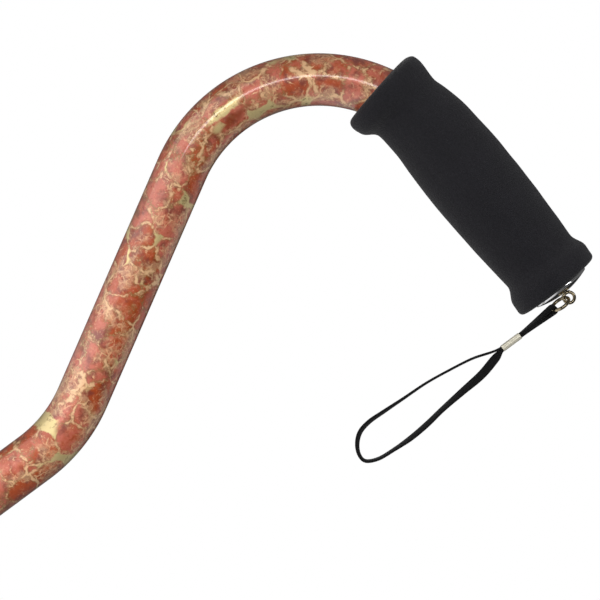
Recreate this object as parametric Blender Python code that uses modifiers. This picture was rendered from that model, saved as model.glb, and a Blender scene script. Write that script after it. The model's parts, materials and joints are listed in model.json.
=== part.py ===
"""Height-adjustable offset cane: bent handle tube, foam grip, wrist strap, telescoping lower tube, tip.

Units are metres and +Z is up. The shaft lies on the Z axis, the bulge of the offset points to -X and the
handle to +X. The origin is the middle of the rubber tip's ground face. The locking holes face -Y.
"""

from math import cos, pi, radians, sin, sqrt

import bmesh
import bpy
from mathutils import Matrix, Vector
from mathutils.geometry import interpolate_bezier

# Gap between two pieces that touch
GAP = 0.0003

# Lower tube, 3/4 inch outside
LOWER_RADIUS = 0.009525
LOWER_WALL = 0.0012
LOWER_LENGTH = 0.470

# Upper tube, 7/8 inch outside, with two bends of 2 1/2 inch radius
TUBE_PLAY = 0.0003875
UPPER_WALL = 0.0012
BEND_RADIUS = 0.0635
LOWER_BEND = radians(30)
UPPER_BEND = radians(117)
SHAFT_SPARE = 0.034
MIDDLE_LENGTH = 0.1055
HANDLE_LENGTH = 0.0835
BEND_STEP = radians(7.5)
BORE_OVERRUN = 0.005

# Height adjustment
HOLE_COUNT = 13
HOLE_PITCH = 0.01905
REST_HOLE = 6
FIRST_HOLE = 0.050
BUTTON_BELOW_TOP = 0.050

# Snap button and its leaf spring
BUTTON_RADIUS = 0.0031
BUTTON_PROUD = 0.0028
BUTTON_CROWN = 0.0014
BUTTON_FLANGE_RIM = 0.0009
BUTTON_FLANGE = 0.0008
SPRING_WIDTH = 0.0060
SPRING_STRIP = 0.0005
SPRING_LENGTH = 0.046
SPRING_TURN = 0.0030

# Top plug
PLUG_HEAD = 0.0030
PLUG_SKIRT = 0.0120
PLUG_WALL = 0.0016
PLUG_CHAMFER = 0.0006

# Collet bush
BUSH_WALL = 0.0022
BUSH_SOCKET = 0.0160
BUSH_RIM = 0.0012
BUSH_RIM_HEIGHT = 0.0015
BUSH_SHOULDER = 0.0025
BUSH_EDGE = 0.0008
NECK_WALL = 0.0028
NECK_LENGTH = 0.0065
FINGER_TAPER = 0.0070
FINGER_TIP_WALL = 0.0011
FINGER_COUNT = 6
FINGER_SLOT = 0.0014

# Locking collar
COLLAR_WALL = 0.0030
COLLAR_LIP = 0.0030
COLLAR_EDGE = 0.0010
COLLAR_FLUTES = 14
COLLAR_FLUTE_RADIUS = 0.0016
COLLAR_FLUTE_DEPTH = 0.0007

# Rubber tip
TIP_HEIGHT = 0.050
TIP_FLOOR = 0.0120
TIP_WALL = 0.0042
TIP_CUFF_WALL = 0.0052
TIP_CUFF_HEIGHT = 0.0070
TIP_FLARE = 0.0050
TIP_FLARE_HEIGHT = 0.0120
TIP_BAND = 0.0060
TIP_EDGE = 0.0010
TREAD_RIM = 0.0030
TREAD_GROOVE = 0.0033
TREAD_LAND = 0.0036
TREAD_GROOVES = 2
TREAD_DEPTH = 0.0020
WASHER_THICKNESS = 0.0012

# Foam grip: its thickness over the tube at each crest and neck, and their distances along it
GRIP_FRONT = -0.0310
GRIP_BORE_GAP = 0.0004
GRIP_FRONT_LEAN = radians(12)
FRONT_CREST_FOAM = 0.0094
FRONT_NECK_FOAM = 0.0058
BARREL_FOAM = 0.0082
REAR_NECK_FOAM = 0.0062
REAR_CREST_FOAM = 0.0088
FRONT_FLANGE = 0.0055
FRONT_FLARE = 0.0100
BARREL_FRONT = 0.0395
REAR_FLARE = 0.0075
REAR_FLANGE = 0.0060
FRONT_EDGE = 0.0045
REAR_EDGE = 0.0020
FRONT_CREST_LIFT = 0.0004
FRONT_CREST_TILT = 0.0025
REAR_CREST_DROP = 0.0008

# End cap
CAP_OVERHANG = 0.0019
CAP_RIM = 0.0010
CAP_DOME = 0.0024
CAP_SHANK = 0.0150
CAP_SHANK_CHAMFER = 0.0008
CAP_WALL = 0.0018
CAP_WEB = 0.0020

# Strap eye, its nut, and the ring
EYE_RADIUS = 0.0023
EYE_WIRE = 0.0007
EYE_SHANK_RADIUS = 0.0013
EYE_SHANK = 0.0085
EYE_COLLAR_RADIUS = 0.0022
EYE_COLLAR = 0.0006
NUT_ACROSS = 0.0055
NUT_HEIGHT = 0.0022
RING_RADIUS = 0.0040
RING_WIRE = 0.00075
RING_TURN = radians(22)

# Wrist strap
STRAP_RADIUS = 0.00065
STRAND_GAP = 0.0003
NECK_DROP = 0.0178
NECK_SPACING = 0.0018
FERRULE_LEAN = 0.0006
LOOP_SPACING = 0.0035
FERRULE_WIDTH = 0.0046
FERRULE_LENGTH = 0.0094
FERRULE_EDGE = 0.0007

# Route of the wrist loop: X from the strap's middle, and drop below the ring's lowest wire
LOOP_ROUTE = [
    (-0.0016, 0.0320),
    (-0.0042, 0.0400),
    (-0.0061, 0.0510),
    (-0.0075, 0.0620),
    (-0.0080, 0.0740),
    (-0.0085, 0.0840),
    (-0.0087, 0.0910),
    (-0.0075, 0.0967),
    (-0.0042, 0.1007),
    (0.0000, 0.1028),
    (0.0038, 0.1022),
    (0.0063, 0.0972),
    (0.0071, 0.0895),
    (0.0074, 0.0810),
    (0.0068, 0.0720),
    (0.0056, 0.0630),
    (0.0046, 0.0520),
    (0.0037, 0.0410),
    (0.0017, 0.0325),
]

# Radii and lengths that follow from the sizes above
UPPER_BORE = LOWER_RADIUS + TUBE_PLAY
UPPER_RADIUS = UPPER_BORE + UPPER_WALL
LOWER_BORE = LOWER_RADIUS - LOWER_WALL
SLEEVE_BORE = LOWER_RADIUS + GAP
HOLE_RADIUS = BUTTON_RADIUS + GAP
FLANGE_RADIUS = BUTTON_RADIUS + BUTTON_FLANGE_RIM
CAP_RADIUS = UPPER_RADIUS + CAP_OVERHANG
HANDLE_RISE = pi / 2 + LOWER_BEND - UPPER_BEND
GRIP_LENGTH = HANDLE_LENGTH - GRIP_FRONT
HOLE_ROW = (HOLE_COUNT - 1) * HOLE_PITCH
SHAFT_LENGTH = FIRST_HOLE + HOLE_ROW + BUTTON_BELOW_TOP + GAP + PLUG_HEAD + SHAFT_SPARE

# Heights above the ground
LOWER_FOOT = TIP_FLOOR + WASHER_THICKNESS + 2 * GAP
LOWER_TOP = LOWER_FOOT + LOWER_LENGTH
BUTTON_HEIGHT = LOWER_TOP - BUTTON_BELOW_TOP
UPPER_FOOT = BUTTON_HEIGHT - REST_HOLE * HOLE_PITCH - FIRST_HOLE
BEND_START = UPPER_FOOT + SHAFT_LENGTH

for existing in list(bpy.data.objects):
    bpy.data.objects.remove(existing)

PARTS = bpy.data.collections.new("offset_cane")
CUTTERS = bpy.data.collections.new("cutters")
bpy.context.scene.collection.children.link(PARTS)
bpy.context.scene.collection.children.link(CUTTERS)


def material(name, colour, roughness, metallic):
    made = bpy.data.materials.new(name)
    made.use_nodes = True
    shader = made.node_tree.nodes["Principled BSDF"]
    shader.inputs["Base Color"].default_value = (*colour, 1)
    shader.inputs["Roughness"].default_value = roughness
    shader.inputs["Metallic"].default_value = metallic
    made.diffuse_color = (*colour, 1)
    return made


def add_part(name, mesh, look, sharp=35):
    """Put a mesh in the parts collection as one named piece, smooth but for edges over the sharp angle."""
    mesh.name = name
    mesh.materials.append(look)
    mesh.shade_smooth()
    mesh.set_sharp_from_angle(angle=radians(sharp))
    part = bpy.data.objects.new(name, mesh)
    PARTS.objects.link(part)
    return part


def add_empty(name, place):
    empty = bpy.data.objects.new(name, None)
    PARTS.objects.link(empty)
    empty.matrix_world = place
    return empty


def combine(part, mesh, operation, parent=None, place=None):
    """Cut a mesh from the part, or join it on. It may be placed under the part's own parent."""
    other = bpy.data.objects.new(mesh.name, mesh)
    CUTTERS.objects.link(other)
    other.hide_render = True
    other.display_type = "WIRE"
    other.parent = parent
    other.matrix_local = place or Matrix()
    boolean = part.modifiers.new(mesh.name, "BOOLEAN")
    boolean.operation = operation
    boolean.solver = "EXACT"
    boolean.object = other


def mesh_from(form, name):
    mesh = bpy.data.meshes.new(name)
    form.to_mesh(mesh)
    form.free()
    return mesh


def baked(name, data, turn_sides=0):
    """Mesh of a bevelled curve, or of a profile turned about Z, with loose caps welded on."""
    guide = bpy.data.objects.new(name, data)
    CUTTERS.objects.link(guide)
    if turn_sides:
        screw = guide.modifiers.new("turn", "SCREW")
        screw.steps = turn_sides
        screw.render_steps = turn_sides
        screw.use_merge_vertices = True
        screw.merge_threshold = 0.00001
    evaluated = guide.evaluated_get(bpy.context.evaluated_depsgraph_get())
    form = bmesh.new()
    form.from_mesh(bpy.data.meshes.new_from_object(evaluated))
    bpy.data.objects.remove(guide)
    bmesh.ops.remove_doubles(form, verts=form.verts, dist=0.000001)
    bmesh.ops.recalc_face_normals(form, faces=form.faces)
    return mesh_from(form, name)


def turned(name, profile, sides=32, closed=True):
    """Turn a profile of (radius, height) points about Z. It runs down its outer side."""
    mesh = bpy.data.meshes.new(name)
    starts = range(len(profile) if closed else len(profile) - 1)
    edges = [(i, (i + 1) % len(profile)) for i in starts]
    mesh.from_pydata([(radius, 0, height) for radius, height in profile], edges, [])
    return baked(name, mesh, sides)


def round_bar(name, points, radius, resolution):
    """Round bar along a line of points, with filled ends."""
    curve = bpy.data.curves.new(name, "CURVE")
    curve.dimensions = "3D"
    curve.bevel_depth = radius
    curve.bevel_resolution = resolution
    curve.use_fill_caps = True
    spline = curve.splines.new("POLY")
    spline.points.add(len(points) - 1)
    for knot, place in zip(spline.points, points):
        knot.co = (*place, 1)
    return baked(name, curve)


def cylinders(name, radius, length, places, sides=16):
    """Equal cylinders in one mesh, each centred and turned by its own matrix."""
    form = bmesh.new()
    for place in places:
        bmesh.ops.create_cone(
            form, cap_ends=True, segments=sides, radius1=radius, radius2=radius, depth=length, matrix=place
        )
    return mesh_from(form, name)


def torus(name, radius, wire, around, across):
    """Ring of round wire about Z."""
    bpy.ops.mesh.primitive_torus_add(
        major_radius=radius, minor_radius=wire, major_segments=around, minor_segments=across
    )
    made = bpy.context.active_object
    mesh = made.data
    mesh.name = name
    bpy.data.objects.remove(made)
    return mesh


def round_about(count, offset=0):
    """Turns about Z that share a circle equally."""
    return [Matrix.Rotation(2 * pi * (i + offset) / count, 4, "Z") for i in range(count)]


# The tube's middle line


def direction(angle):
    """Unit vector in the XZ plane, at an angle above +X."""
    return Vector((cos(angle), 0, sin(angle)))


def bend(start, angle, turn):
    """Points of a bend after its start, with its centre and the angle at which it leaves."""
    outward = angle - pi / 2 if turn > 0 else angle + pi / 2
    centre = start - direction(outward) * BEND_RADIUS
    steps = max(1, round(abs(turn) / BEND_STEP))
    points = [centre + direction(outward + turn * i / steps) * BEND_RADIUS for i in range(1, steps + 1)]
    return points, centre, angle + turn


def upper_bend_start():
    """Points of the lower bend, the point where the upper bend starts, and the angle there."""
    points, _, angle = bend(Vector((0, 0, BEND_START)), pi / 2, LOWER_BEND)
    return points, points[-1] + direction(angle) * MIDDLE_LENGTH, angle


def tube_line(overrun=0):
    """Points of the whole middle line, from the tube's foot to the handle's rear end."""
    lower, start, angle = upper_bend_start()
    upper, _, angle = bend(start, angle, -UPPER_BEND)
    foot = [Vector((0, 0, UPPER_FOOT - overrun)), Vector((0, 0, BEND_START))]
    return foot + lower + [start] + upper + [upper[-1] + direction(angle) * (HANDLE_LENGTH + overrun)]


def handle_point(along):
    """Point of the middle line and its angle, measured from where the upper bend ends."""
    _, start, angle = upper_bend_start()
    upper, centre, angle = bend(start, angle, -UPPER_BEND)
    if along >= 0:
        return upper[-1] + direction(angle) * along, angle
    angle -= along / BEND_RADIUS
    return centre + direction(angle + pi / 2) * BEND_RADIUS, angle


def make_upper_tube(look):
    body = add_part("upper_tube", round_bar("upper_tube", tube_line(), UPPER_RADIUS, 14), look)
    combine(body, round_bar("upper_bore", tube_line(BORE_OVERRUN), UPPER_BORE, 14), "DIFFERENCE")
    row = [
        Matrix.Translation((0, -UPPER_RADIUS, UPPER_FOOT + FIRST_HOLE + HOLE_PITCH * i))
        @ Matrix.Rotation(pi / 2, 4, "X")
        for i in range(HOLE_COUNT)
    ]
    combine(body, cylinders("hole_row", HOLE_RADIUS, UPPER_RADIUS, row), "DIFFERENCE")


# Foam grip


def ease(share):
    """Smooth step from 0 to 1."""
    return (1 - cos(pi * share)) / 2


def grip_stations():
    """Distances from the grip's front face to its front crest and neck, barrel, rear neck and crest."""
    front_neck = FRONT_FLANGE + FRONT_FLARE
    rear_crest = GRIP_LENGTH - REAR_FLANGE
    return FRONT_FLANGE, front_neck, front_neck + BARREL_FRONT, rear_crest - REAR_FLARE, rear_crest


def grip_radius(along):
    """Outer radius of the grip at a distance from its front face."""
    front_crest, front_neck, barrel, rear_neck, rear_crest = grip_stations()
    if along <= front_neck:
        rise = ease(min(1, (front_neck - along) / FRONT_FLARE))
        foam = FRONT_NECK_FOAM + (FRONT_CREST_FOAM - FRONT_NECK_FOAM) * rise
    elif along <= barrel:
        rise = sin((along - front_neck) / BARREL_FRONT * pi / 2)
        foam = FRONT_NECK_FOAM + (BARREL_FOAM - FRONT_NECK_FOAM) * rise
    elif along <= rear_neck:
        rise = sin((rear_neck - along) / (rear_neck - barrel) * pi / 2)
        foam = REAR_NECK_FOAM + (BARREL_FOAM - REAR_NECK_FOAM) * rise
    else:
        rise = ease(min(1, (along - rear_neck) / REAR_FLARE))
        foam = REAR_NECK_FOAM + (REAR_CREST_FOAM - REAR_NECK_FOAM) * rise
    edge, inward = (FRONT_EDGE, along) if along < barrel else (REAR_EDGE, GRIP_LENGTH - along)
    return UPPER_RADIUS + foam - edge + sqrt(edge**2 - max(0, edge - inward) ** 2)


def spread(start, end, count):
    """Evenly spaced values from start up to, but not including, end."""
    return [start + (end - start) * i / count for i in range(count)]


def grip_outline():
    """Closed outline of (along, radius): the outer side from front to rear, then the bore back."""
    front_crest, front_neck, barrel, rear_neck, rear_crest = grip_stations()
    rounding = [1 - cos(i * pi / 8) for i in range(4)]
    places = [FRONT_EDGE * share for share in rounding]
    places += spread(FRONT_EDGE, front_crest, 1) + spread(front_crest, front_neck, 4)
    places += spread(front_neck, barrel, 6) + spread(barrel, rear_neck, 6)
    places += spread(rear_neck, rear_crest, 4) + spread(rear_crest, GRIP_LENGTH - REAR_EDGE, 1)
    places += [GRIP_LENGTH - REAR_EDGE] + [GRIP_LENGTH - REAR_EDGE * share for share in reversed(rounding)]
    bore = UPPER_RADIUS + GRIP_BORE_GAP
    inner = [GRIP_LENGTH] + spread(-GRIP_FRONT, 0, 6) + [0]
    return [(place, grip_radius(place)) for place in places] + [(place, bore) for place in inner]


def grip_lift(along):
    """How far the foam's middle lies above the tube's, at its two flared ends."""
    _, front_neck, _, rear_neck, _ = grip_stations()
    front = ease(max(0, 1 - along / front_neck))
    rear = ease(max(0, (along - rear_neck) / (GRIP_LENGTH - rear_neck)))
    return FRONT_CREST_LIFT * front - REAR_CREST_DROP * rear


def crest_shift(along):
    """How far the front flange's upper side leans forwards, and its lower side back."""
    front_crest, front_neck, _, _, _ = grip_stations()
    return FRONT_CREST_TILT * min(along / front_crest, ease(max(0, min(1, (front_neck - along) / FRONT_FLARE))))


def onto_handle(place):
    """Move a point of a straight grip onto the bent handle: X runs along the tube, Z away from it."""
    reach = Vector((place.y, place.z)).length
    in_bore = reach < UPPER_RADIUS + 2 * GRIP_BORE_GAP
    along = place.x if in_bore else place.x - crest_shift(place.x) * place.z / reach
    centre, angle = handle_point(along + GRIP_FRONT)
    lean = HANDLE_RISE + (GRIP_FRONT_LEAN - HANDLE_RISE) * max(0, 1 + along / GRIP_FRONT)
    across = BEND_RADIUS * cos(angle - lean)
    in_tube = sqrt(across**2 + 2 * BEND_RADIUS * place.z + place.z**2) - across
    rise = in_tube if in_bore else place.z + grip_lift(place.x)
    return centre + direction(lean + pi / 2) * rise + Vector((0, place.y, 0))


def make_foam_grip(look):
    form = bmesh.new()
    knots = [form.verts.new((along, 0, radius)) for along, radius in grip_outline()]
    edges = [form.edges.new((knots[i - 1], knots[i])) for i in range(len(knots))]
    bmesh.ops.spin(
        form, geom=knots + edges, cent=(0, 0, 0), axis=(1, 0, 0), angle=2 * pi, steps=36, use_merge=True
    )
    bmesh.ops.recalc_face_normals(form, faces=form.faces)
    for vert in form.verts:
        vert.co = onto_handle(vert.co)
    add_part("foam_grip", mesh_from(form, "foam_grip"), look, sharp=50)


# Rear end of the handle: cap, eye, nut and ring


def add_handle_end():
    """Empty at the tube's rear end, its Z along the handle and its X up."""
    place, angle = handle_point(HANDLE_LENGTH)
    axes = Matrix((direction(angle + pi / 2), Vector((0, -1, 0)), direction(angle))).transposed()
    return add_empty("handle_end", Matrix.Translation(place) @ axes.to_4x4())


def cap_face(radius):
    """Height of the cap's domed face above the tube's end."""
    return GAP + CAP_RIM + CAP_DOME * (1 - (radius / CAP_RADIUS) ** 2)


def cap_web():
    """Height of the inner side of the cap's web, where the nut sits."""
    return cap_face(EYE_SHANK_RADIUS) - CAP_WEB


def eye_height():
    """Height of the eye's hole above the tube's end."""
    return cap_face(0) + GAP + EYE_COLLAR + EYE_RADIUS - EYE_WIRE / 2


def make_end_cap(look, parent):
    """Domed head over the tube's end, with a hollow shank inside the tube."""
    shank = UPPER_BORE - GAP
    hole = EYE_SHANK_RADIUS + GAP
    profile = [(radius, cap_face(radius)) for radius in spread(hole, CAP_RADIUS, 6) + [CAP_RADIUS]]
    profile += [
        (CAP_RADIUS, GAP),
        (shank, GAP),
        (shank, CAP_SHANK_CHAMFER - CAP_SHANK),
        (shank - CAP_SHANK_CHAMFER, -CAP_SHANK),
        (shank - CAP_WALL, -CAP_SHANK),
        (shank - CAP_WALL, cap_web()),
        (hole, cap_web()),
    ]
    add_part("end_cap", turned("end_cap", profile), look).parent = parent


def make_strap_eye(look, parent):
    """Screw eye: a wire loop facing sideways, on a collar and a shank."""
    foot = cap_face(0) + GAP
    profile = [
        (0, foot + EYE_COLLAR),
        (EYE_COLLAR_RADIUS, foot + EYE_COLLAR),
        (EYE_COLLAR_RADIUS, foot),
        (EYE_SHANK_RADIUS, foot),
        (EYE_SHANK_RADIUS, foot - EYE_SHANK),
        (0, foot - EYE_SHANK),
    ]
    eye = add_part("strap_eye", turned("strap_eye", profile, sides=16, closed=False), look)
    eye.parent = parent
    place = Matrix.Translation((0, 0, eye_height())) @ Matrix.Rotation(pi / 2, 4, "X")
    combine(eye, torus("eye_loop", EYE_RADIUS, EYE_WIRE, 20, 8), "UNION", parent, place)


def make_eye_nut(look, parent):
    middle = Matrix.Translation((0, 0, cap_web() - GAP - NUT_HEIGHT / 2))
    across_corners = NUT_ACROSS / cos(pi / 6)
    nut = add_part("eye_nut", cylinders("eye_nut", across_corners / 2, NUT_HEIGHT, [middle], sides=6), look)
    nut.parent = parent
    bore = cylinders("nut_bore", EYE_SHANK_RADIUS + GAP, 2 * NUT_HEIGHT, [middle])
    combine(nut, bore, "DIFFERENCE", parent)


def make_strap_ring(look):
    """Ring hanging in the eye, with its origin where its top wire lies in the eye."""
    hole, _ = handle_point(HANDLE_LENGTH + eye_height())
    mesh = torus("strap_ring", RING_RADIUS, RING_WIRE, 28, 8)
    upright = Matrix.Rotation(RING_TURN, 4, "Z") @ Matrix.Rotation(pi / 2, 4, "Y")
    mesh.transform(upright @ Matrix.Translation((RING_RADIUS, 0, 0)))
    ring = add_part("strap_ring", mesh, look, sharp=60)
    ring.location = hole - Vector((0, 0, EYE_RADIUS - EYE_WIRE - RING_WIRE - GAP))
    return ring


# Wrist strap


def smooth_route(route, spacing):
    """Points about one spacing apart on a smooth curve through a route of points."""
    points = [route[0]]
    ends = [route[0], *route, route[-1]]
    for before, start, end, after in zip(ends, ends[1:], ends[2:], ends[3:]):
        count = max(1, round((end - start).length / spacing))
        leave = start + (end - before) / 6
        arrive = end - (after - start) / 6
        points += interpolate_bezier(start, leave, arrive, end, count + 1)[1:]
    return points


def hung(place):
    """Move a point of an upright strap to where it hangs: from the ring it leans to the ferrule."""
    return place + Vector((FERRULE_LEAN * max(0, min(1, -place.z / NECK_DROP)), 0, 0))


def make_strap_neck(look, parent):
    """Small loop: up from the ferrule, over the ring's lowest wire, and down again."""
    strand = STRAP_RADIUS + STRAND_GAP / 2
    fold = RING_WIRE + GAP + STRAP_RADIUS
    left = [
        Vector((-strand, 0, GAP - NECK_DROP)),
        Vector((-strand * 1.2, 0, -NECK_DROP * 0.7)),
        Vector((-fold * 0.95, 0, -NECK_DROP * 0.3)),
    ]
    over = [fold * direction(pi - pi * i / 6) for i in range(7)]
    right = [Vector((-place.x, 0, place.z)) for place in reversed(left)]
    line = smooth_route([hung(place) for place in left + over + right], NECK_SPACING)
    add_part("strap_neck", round_bar("strap_neck", line, STRAP_RADIUS, 2), look).parent = parent


def make_strap_ferrule(look, parent):
    """Crimped sleeve, two straps thick."""
    form = bmesh.new()
    bmesh.ops.create_cube(form, size=1)
    size = (4 * STRAP_RADIUS + STRAND_GAP, FERRULE_WIDTH, FERRULE_LENGTH)
    bmesh.ops.scale(form, vec=size, verts=form.verts)
    bmesh.ops.bevel(
        form, geom=form.edges[:], offset=FERRULE_EDGE, segments=3, profile=0.5, affect="EDGES", material=-1
    )
    ferrule = add_part("strap_ferrule", mesh_from(form, "strap_ferrule"), look, sharp=60)
    ferrule.parent = parent
    ferrule.location = (FERRULE_LEAN, 0, -NECK_DROP - FERRULE_LENGTH / 2)


def make_wrist_loop(look, parent):
    strand = STRAP_RADIUS + STRAND_GAP / 2
    top = -NECK_DROP - FERRULE_LENGTH - GAP
    route = [Vector((-strand, 0, top))] + [Vector((x, 0, -drop)) for x, drop in LOOP_ROUTE]
    line = smooth_route([hung(place) for place in [*route, Vector((strand, 0, top))]], LOOP_SPACING)
    add_part("wrist_loop", round_bar("wrist_loop", line, STRAP_RADIUS, 2), look).parent = parent


# Height adjustment


def make_lower_tube(look):
    profile = [(LOWER_RADIUS, LOWER_LENGTH), (LOWER_RADIUS, 0), (LOWER_BORE, 0), (LOWER_BORE, LOWER_LENGTH)]
    tube = add_part("lower_tube", turned("lower_tube", profile), look)
    tube.location = (0, 0, LOWER_FOOT)
    place = Matrix.Translation((0, -LOWER_RADIUS, BUTTON_HEIGHT)) @ Matrix.Rotation(pi / 2, 4, "X")
    combine(tube, cylinders("button_hole", HOLE_RADIUS, LOWER_RADIUS, [place]), "DIFFERENCE")


def make_top_plug(look):
    """Head that guides the lower tube in the upper one, with a skirt inside the lower tube."""
    skirt = LOWER_BORE - GAP
    head = UPPER_BORE - GAP
    profile = [
        (skirt - PLUG_WALL, GAP + PLUG_HEAD),
        (head - PLUG_CHAMFER, GAP + PLUG_HEAD),
        (head, GAP + PLUG_HEAD - PLUG_CHAMFER),
        (head, GAP),
        (skirt, GAP),
        (skirt, PLUG_CHAMFER - PLUG_SKIRT),
        (skirt - PLUG_CHAMFER, -PLUG_SKIRT),
        (skirt - PLUG_WALL, -PLUG_SKIRT),
    ]
    plug = add_part("top_plug", turned("top_plug", profile), look)
    plug.location = (0, 0, LOWER_TOP)


def flange_reach():
    """How far from the tube's axis the button's flange meets the curved bore."""
    return sqrt((LOWER_BORE - GAP) ** 2 - FLANGE_RADIUS**2)


def make_snap_button(look):
    """Domed pin with a flange behind it, pointing to -Y, with its origin on the shaft's axis."""
    tip = UPPER_RADIUS + BUTTON_PROUD
    angles = [i * pi / 8 for i in range(5)]
    profile = [(BUTTON_RADIUS * sin(angle), tip - BUTTON_CROWN * (1 - cos(angle))) for angle in angles]
    profile += [
        (BUTTON_RADIUS, flange_reach()),
        (FLANGE_RADIUS, flange_reach()),
        (FLANGE_RADIUS, flange_reach() - BUTTON_FLANGE),
        (0, flange_reach() - BUTTON_FLANGE),
    ]
    button = add_part("snap_button", turned("snap_button", profile, sides=24, closed=False), look)
    button.location = (0, 0, BUTTON_HEIGHT)
    button.rotation_euler = (pi / 2, 0, 0)


def make_button_spring(look):
    """Folded leaf: one leg lies on the bore's far wall, the other pushes the button's flange outwards."""
    wall_leg = sqrt((LOWER_BORE - GAP) ** 2 - (SPRING_WIDTH / 2) ** 2) - SPRING_STRIP / 2
    push_leg = flange_reach() - BUTTON_FLANGE - GAP - SPRING_STRIP / 2
    foot = SPRING_TURN - SPRING_LENGTH
    turn = [Vector((0, wall_leg - SPRING_TURN, foot)) for _ in range(9)]
    for i, place in enumerate(turn):
        place.y += SPRING_TURN * cos(i * pi / 8)
        place.z -= SPRING_TURN * sin(i * pi / 8)
    line = [Vector((0, wall_leg, FLANGE_RADIUS)), *turn]
    line += [Vector((0, -push_leg, -FLANGE_RADIUS)), Vector((0, -push_leg, FLANGE_RADIUS))]
    form = bmesh.new()
    knots = [form.verts.new(place) for place in line]
    edges = [form.edges.new(pair) for pair in zip(knots, knots[1:])]
    swept = bmesh.ops.extrude_edge_only(form, edges=edges)["geom"]
    far_side = [item for item in swept if isinstance(item, bmesh.types.BMVert)]
    bmesh.ops.translate(form, vec=(SPRING_WIDTH, 0, 0), verts=far_side)
    bmesh.ops.translate(form, vec=(-SPRING_WIDTH / 2, 0, 0), verts=form.verts)
    spring = add_part("button_spring", mesh_from(form, "button_spring"), look, sharp=50)
    spring.location = (0, 0, BUTTON_HEIGHT)
    strip = spring.modifiers.new("strip", "SOLIDIFY")
    strip.thickness = SPRING_STRIP
    strip.offset = 0


def bush_levels():
    """Heights of the shoulder, the taper's start and the finger tips, from the upper tube's end."""
    shoulder = -GAP - BUSH_SHOULDER
    taper = shoulder - NECK_LENGTH
    return shoulder, taper, taper - FINGER_TAPER


def make_collet_bush(look):
    """Socket on the upper tube's end, a neck below it, and tapered fingers that close on the lower tube."""
    shoulder, taper, tips = bush_levels()
    socket = UPPER_RADIUS + GAP
    outside = socket + BUSH_WALL
    neck = SLEEVE_BORE + NECK_WALL
    profile = [
        (socket, BUSH_SOCKET),
        (outside - BUSH_EDGE, BUSH_SOCKET),
        (outside, BUSH_SOCKET - BUSH_EDGE),
        (outside, BUSH_RIM_HEIGHT + BUSH_RIM),
        (outside + BUSH_RIM, BUSH_RIM_HEIGHT),
        (outside + BUSH_RIM, shoulder),
        (neck, shoulder),
        (neck, taper),
        (SLEEVE_BORE + FINGER_TIP_WALL, tips),
        (SLEEVE_BORE, tips),
        (SLEEVE_BORE, -GAP),
        (socket, -GAP),
    ]
    bush = add_part("collet_bush", turned("collet_bush", profile), look)
    bush.location = (0, 0, UPPER_FOOT)
    slot_length = 2 * (shoulder - BUSH_SHOULDER / 2 - tips)
    slot = Matrix.Diagonal((2 * NECK_WALL, FINGER_SLOT, slot_length, 1))
    form = bmesh.new()
    for turn in round_about(FINGER_COUNT, 0.5):
        place = turn @ Matrix.Translation((neck - NECK_WALL / 2, 0, UPPER_FOOT + tips))
        bmesh.ops.create_cube(form, size=1, matrix=place @ slot)
    combine(bush, mesh_from(form, "finger_slots"), "DIFFERENCE")


def make_locking_collar(look):
    """Fluted ring round the fingers, with a cone that presses them in."""
    shoulder, taper, tips = bush_levels()
    neck = SLEEVE_BORE + NECK_WALL + GAP
    outside = neck + COLLAR_WALL
    foot = tips - COLLAR_LIP
    profile = [
        (neck, shoulder - GAP),
        (outside - COLLAR_EDGE, shoulder - GAP),
        (outside, shoulder - GAP - COLLAR_EDGE),
        (outside, foot + 2 * COLLAR_EDGE),
        (outside - 2 * COLLAR_EDGE, foot),
        (SLEEVE_BORE, foot),
        (SLEEVE_BORE, tips - GAP),
        (SLEEVE_BORE + FINGER_TIP_WALL + GAP, tips - GAP),
        (neck, taper),
    ]
    collar = add_part("locking_collar", turned("locking_collar", profile, sides=3 * COLLAR_FLUTES), look)
    collar.location = (0, 0, UPPER_FOOT)
    out = outside + COLLAR_FLUTE_RADIUS - COLLAR_FLUTE_DEPTH
    flute = Matrix.Translation((out, 0, UPPER_FOOT + (shoulder + foot) / 2))
    places = [turn @ flute for turn in round_about(COLLAR_FLUTES)]
    flutes = cylinders("collar_flutes", COLLAR_FLUTE_RADIUS, 2 * (shoulder - foot), places, sides=12)
    combine(collar, flutes, "DIFFERENCE")


# Rubber tip


def make_rubber_tip(look):
    """Ferrule that flares to its foot, with rings cut in the tread round a flat middle pad."""
    side = SLEEVE_BORE + TIP_WALL
    cuff = SLEEVE_BORE + TIP_CUFF_WALL
    foot = side + TIP_FLARE
    step = TIP_CUFF_WALL - TIP_WALL
    profile = [
        (SLEEVE_BORE, TIP_HEIGHT),
        (cuff - TIP_EDGE, TIP_HEIGHT),
        (cuff, TIP_HEIGHT - TIP_EDGE),
        (cuff, TIP_HEIGHT - TIP_CUFF_HEIGHT),
        (side, TIP_HEIGHT - TIP_CUFF_HEIGHT - step),
    ]
    for angle in spread(0, pi / 2, 4) + [pi / 2]:
        height = TIP_BAND + TIP_FLARE_HEIGHT * (1 - sin(angle))
        profile.append((side + TIP_FLARE * (1 - cos(angle)), height))
    profile += [(foot, TIP_EDGE), (foot - TIP_EDGE, 0)]
    outer = foot - TREAD_RIM
    for _ in range(TREAD_GROOVES):
        inner = outer - TREAD_GROOVE
        profile += [(outer, 0), (outer, TREAD_DEPTH), (inner, TREAD_DEPTH), (inner, 0)]
        outer = inner - TREAD_LAND
    profile += [(0, 0), (0, TIP_FLOOR), (SLEEVE_BORE, TIP_FLOOR)]
    add_part("rubber_tip", turned("rubber_tip", profile), look)


def make_tip_washer(look):
    radius = SLEEVE_BORE - GAP
    profile = [(0, WASHER_THICKNESS), (radius, WASHER_THICKNESS), (radius, 0), (0, 0)]
    washer = add_part("tip_washer", turned("tip_washer", profile, closed=False), look)
    washer.location = (0, 0, TIP_FLOOR + GAP)


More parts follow.
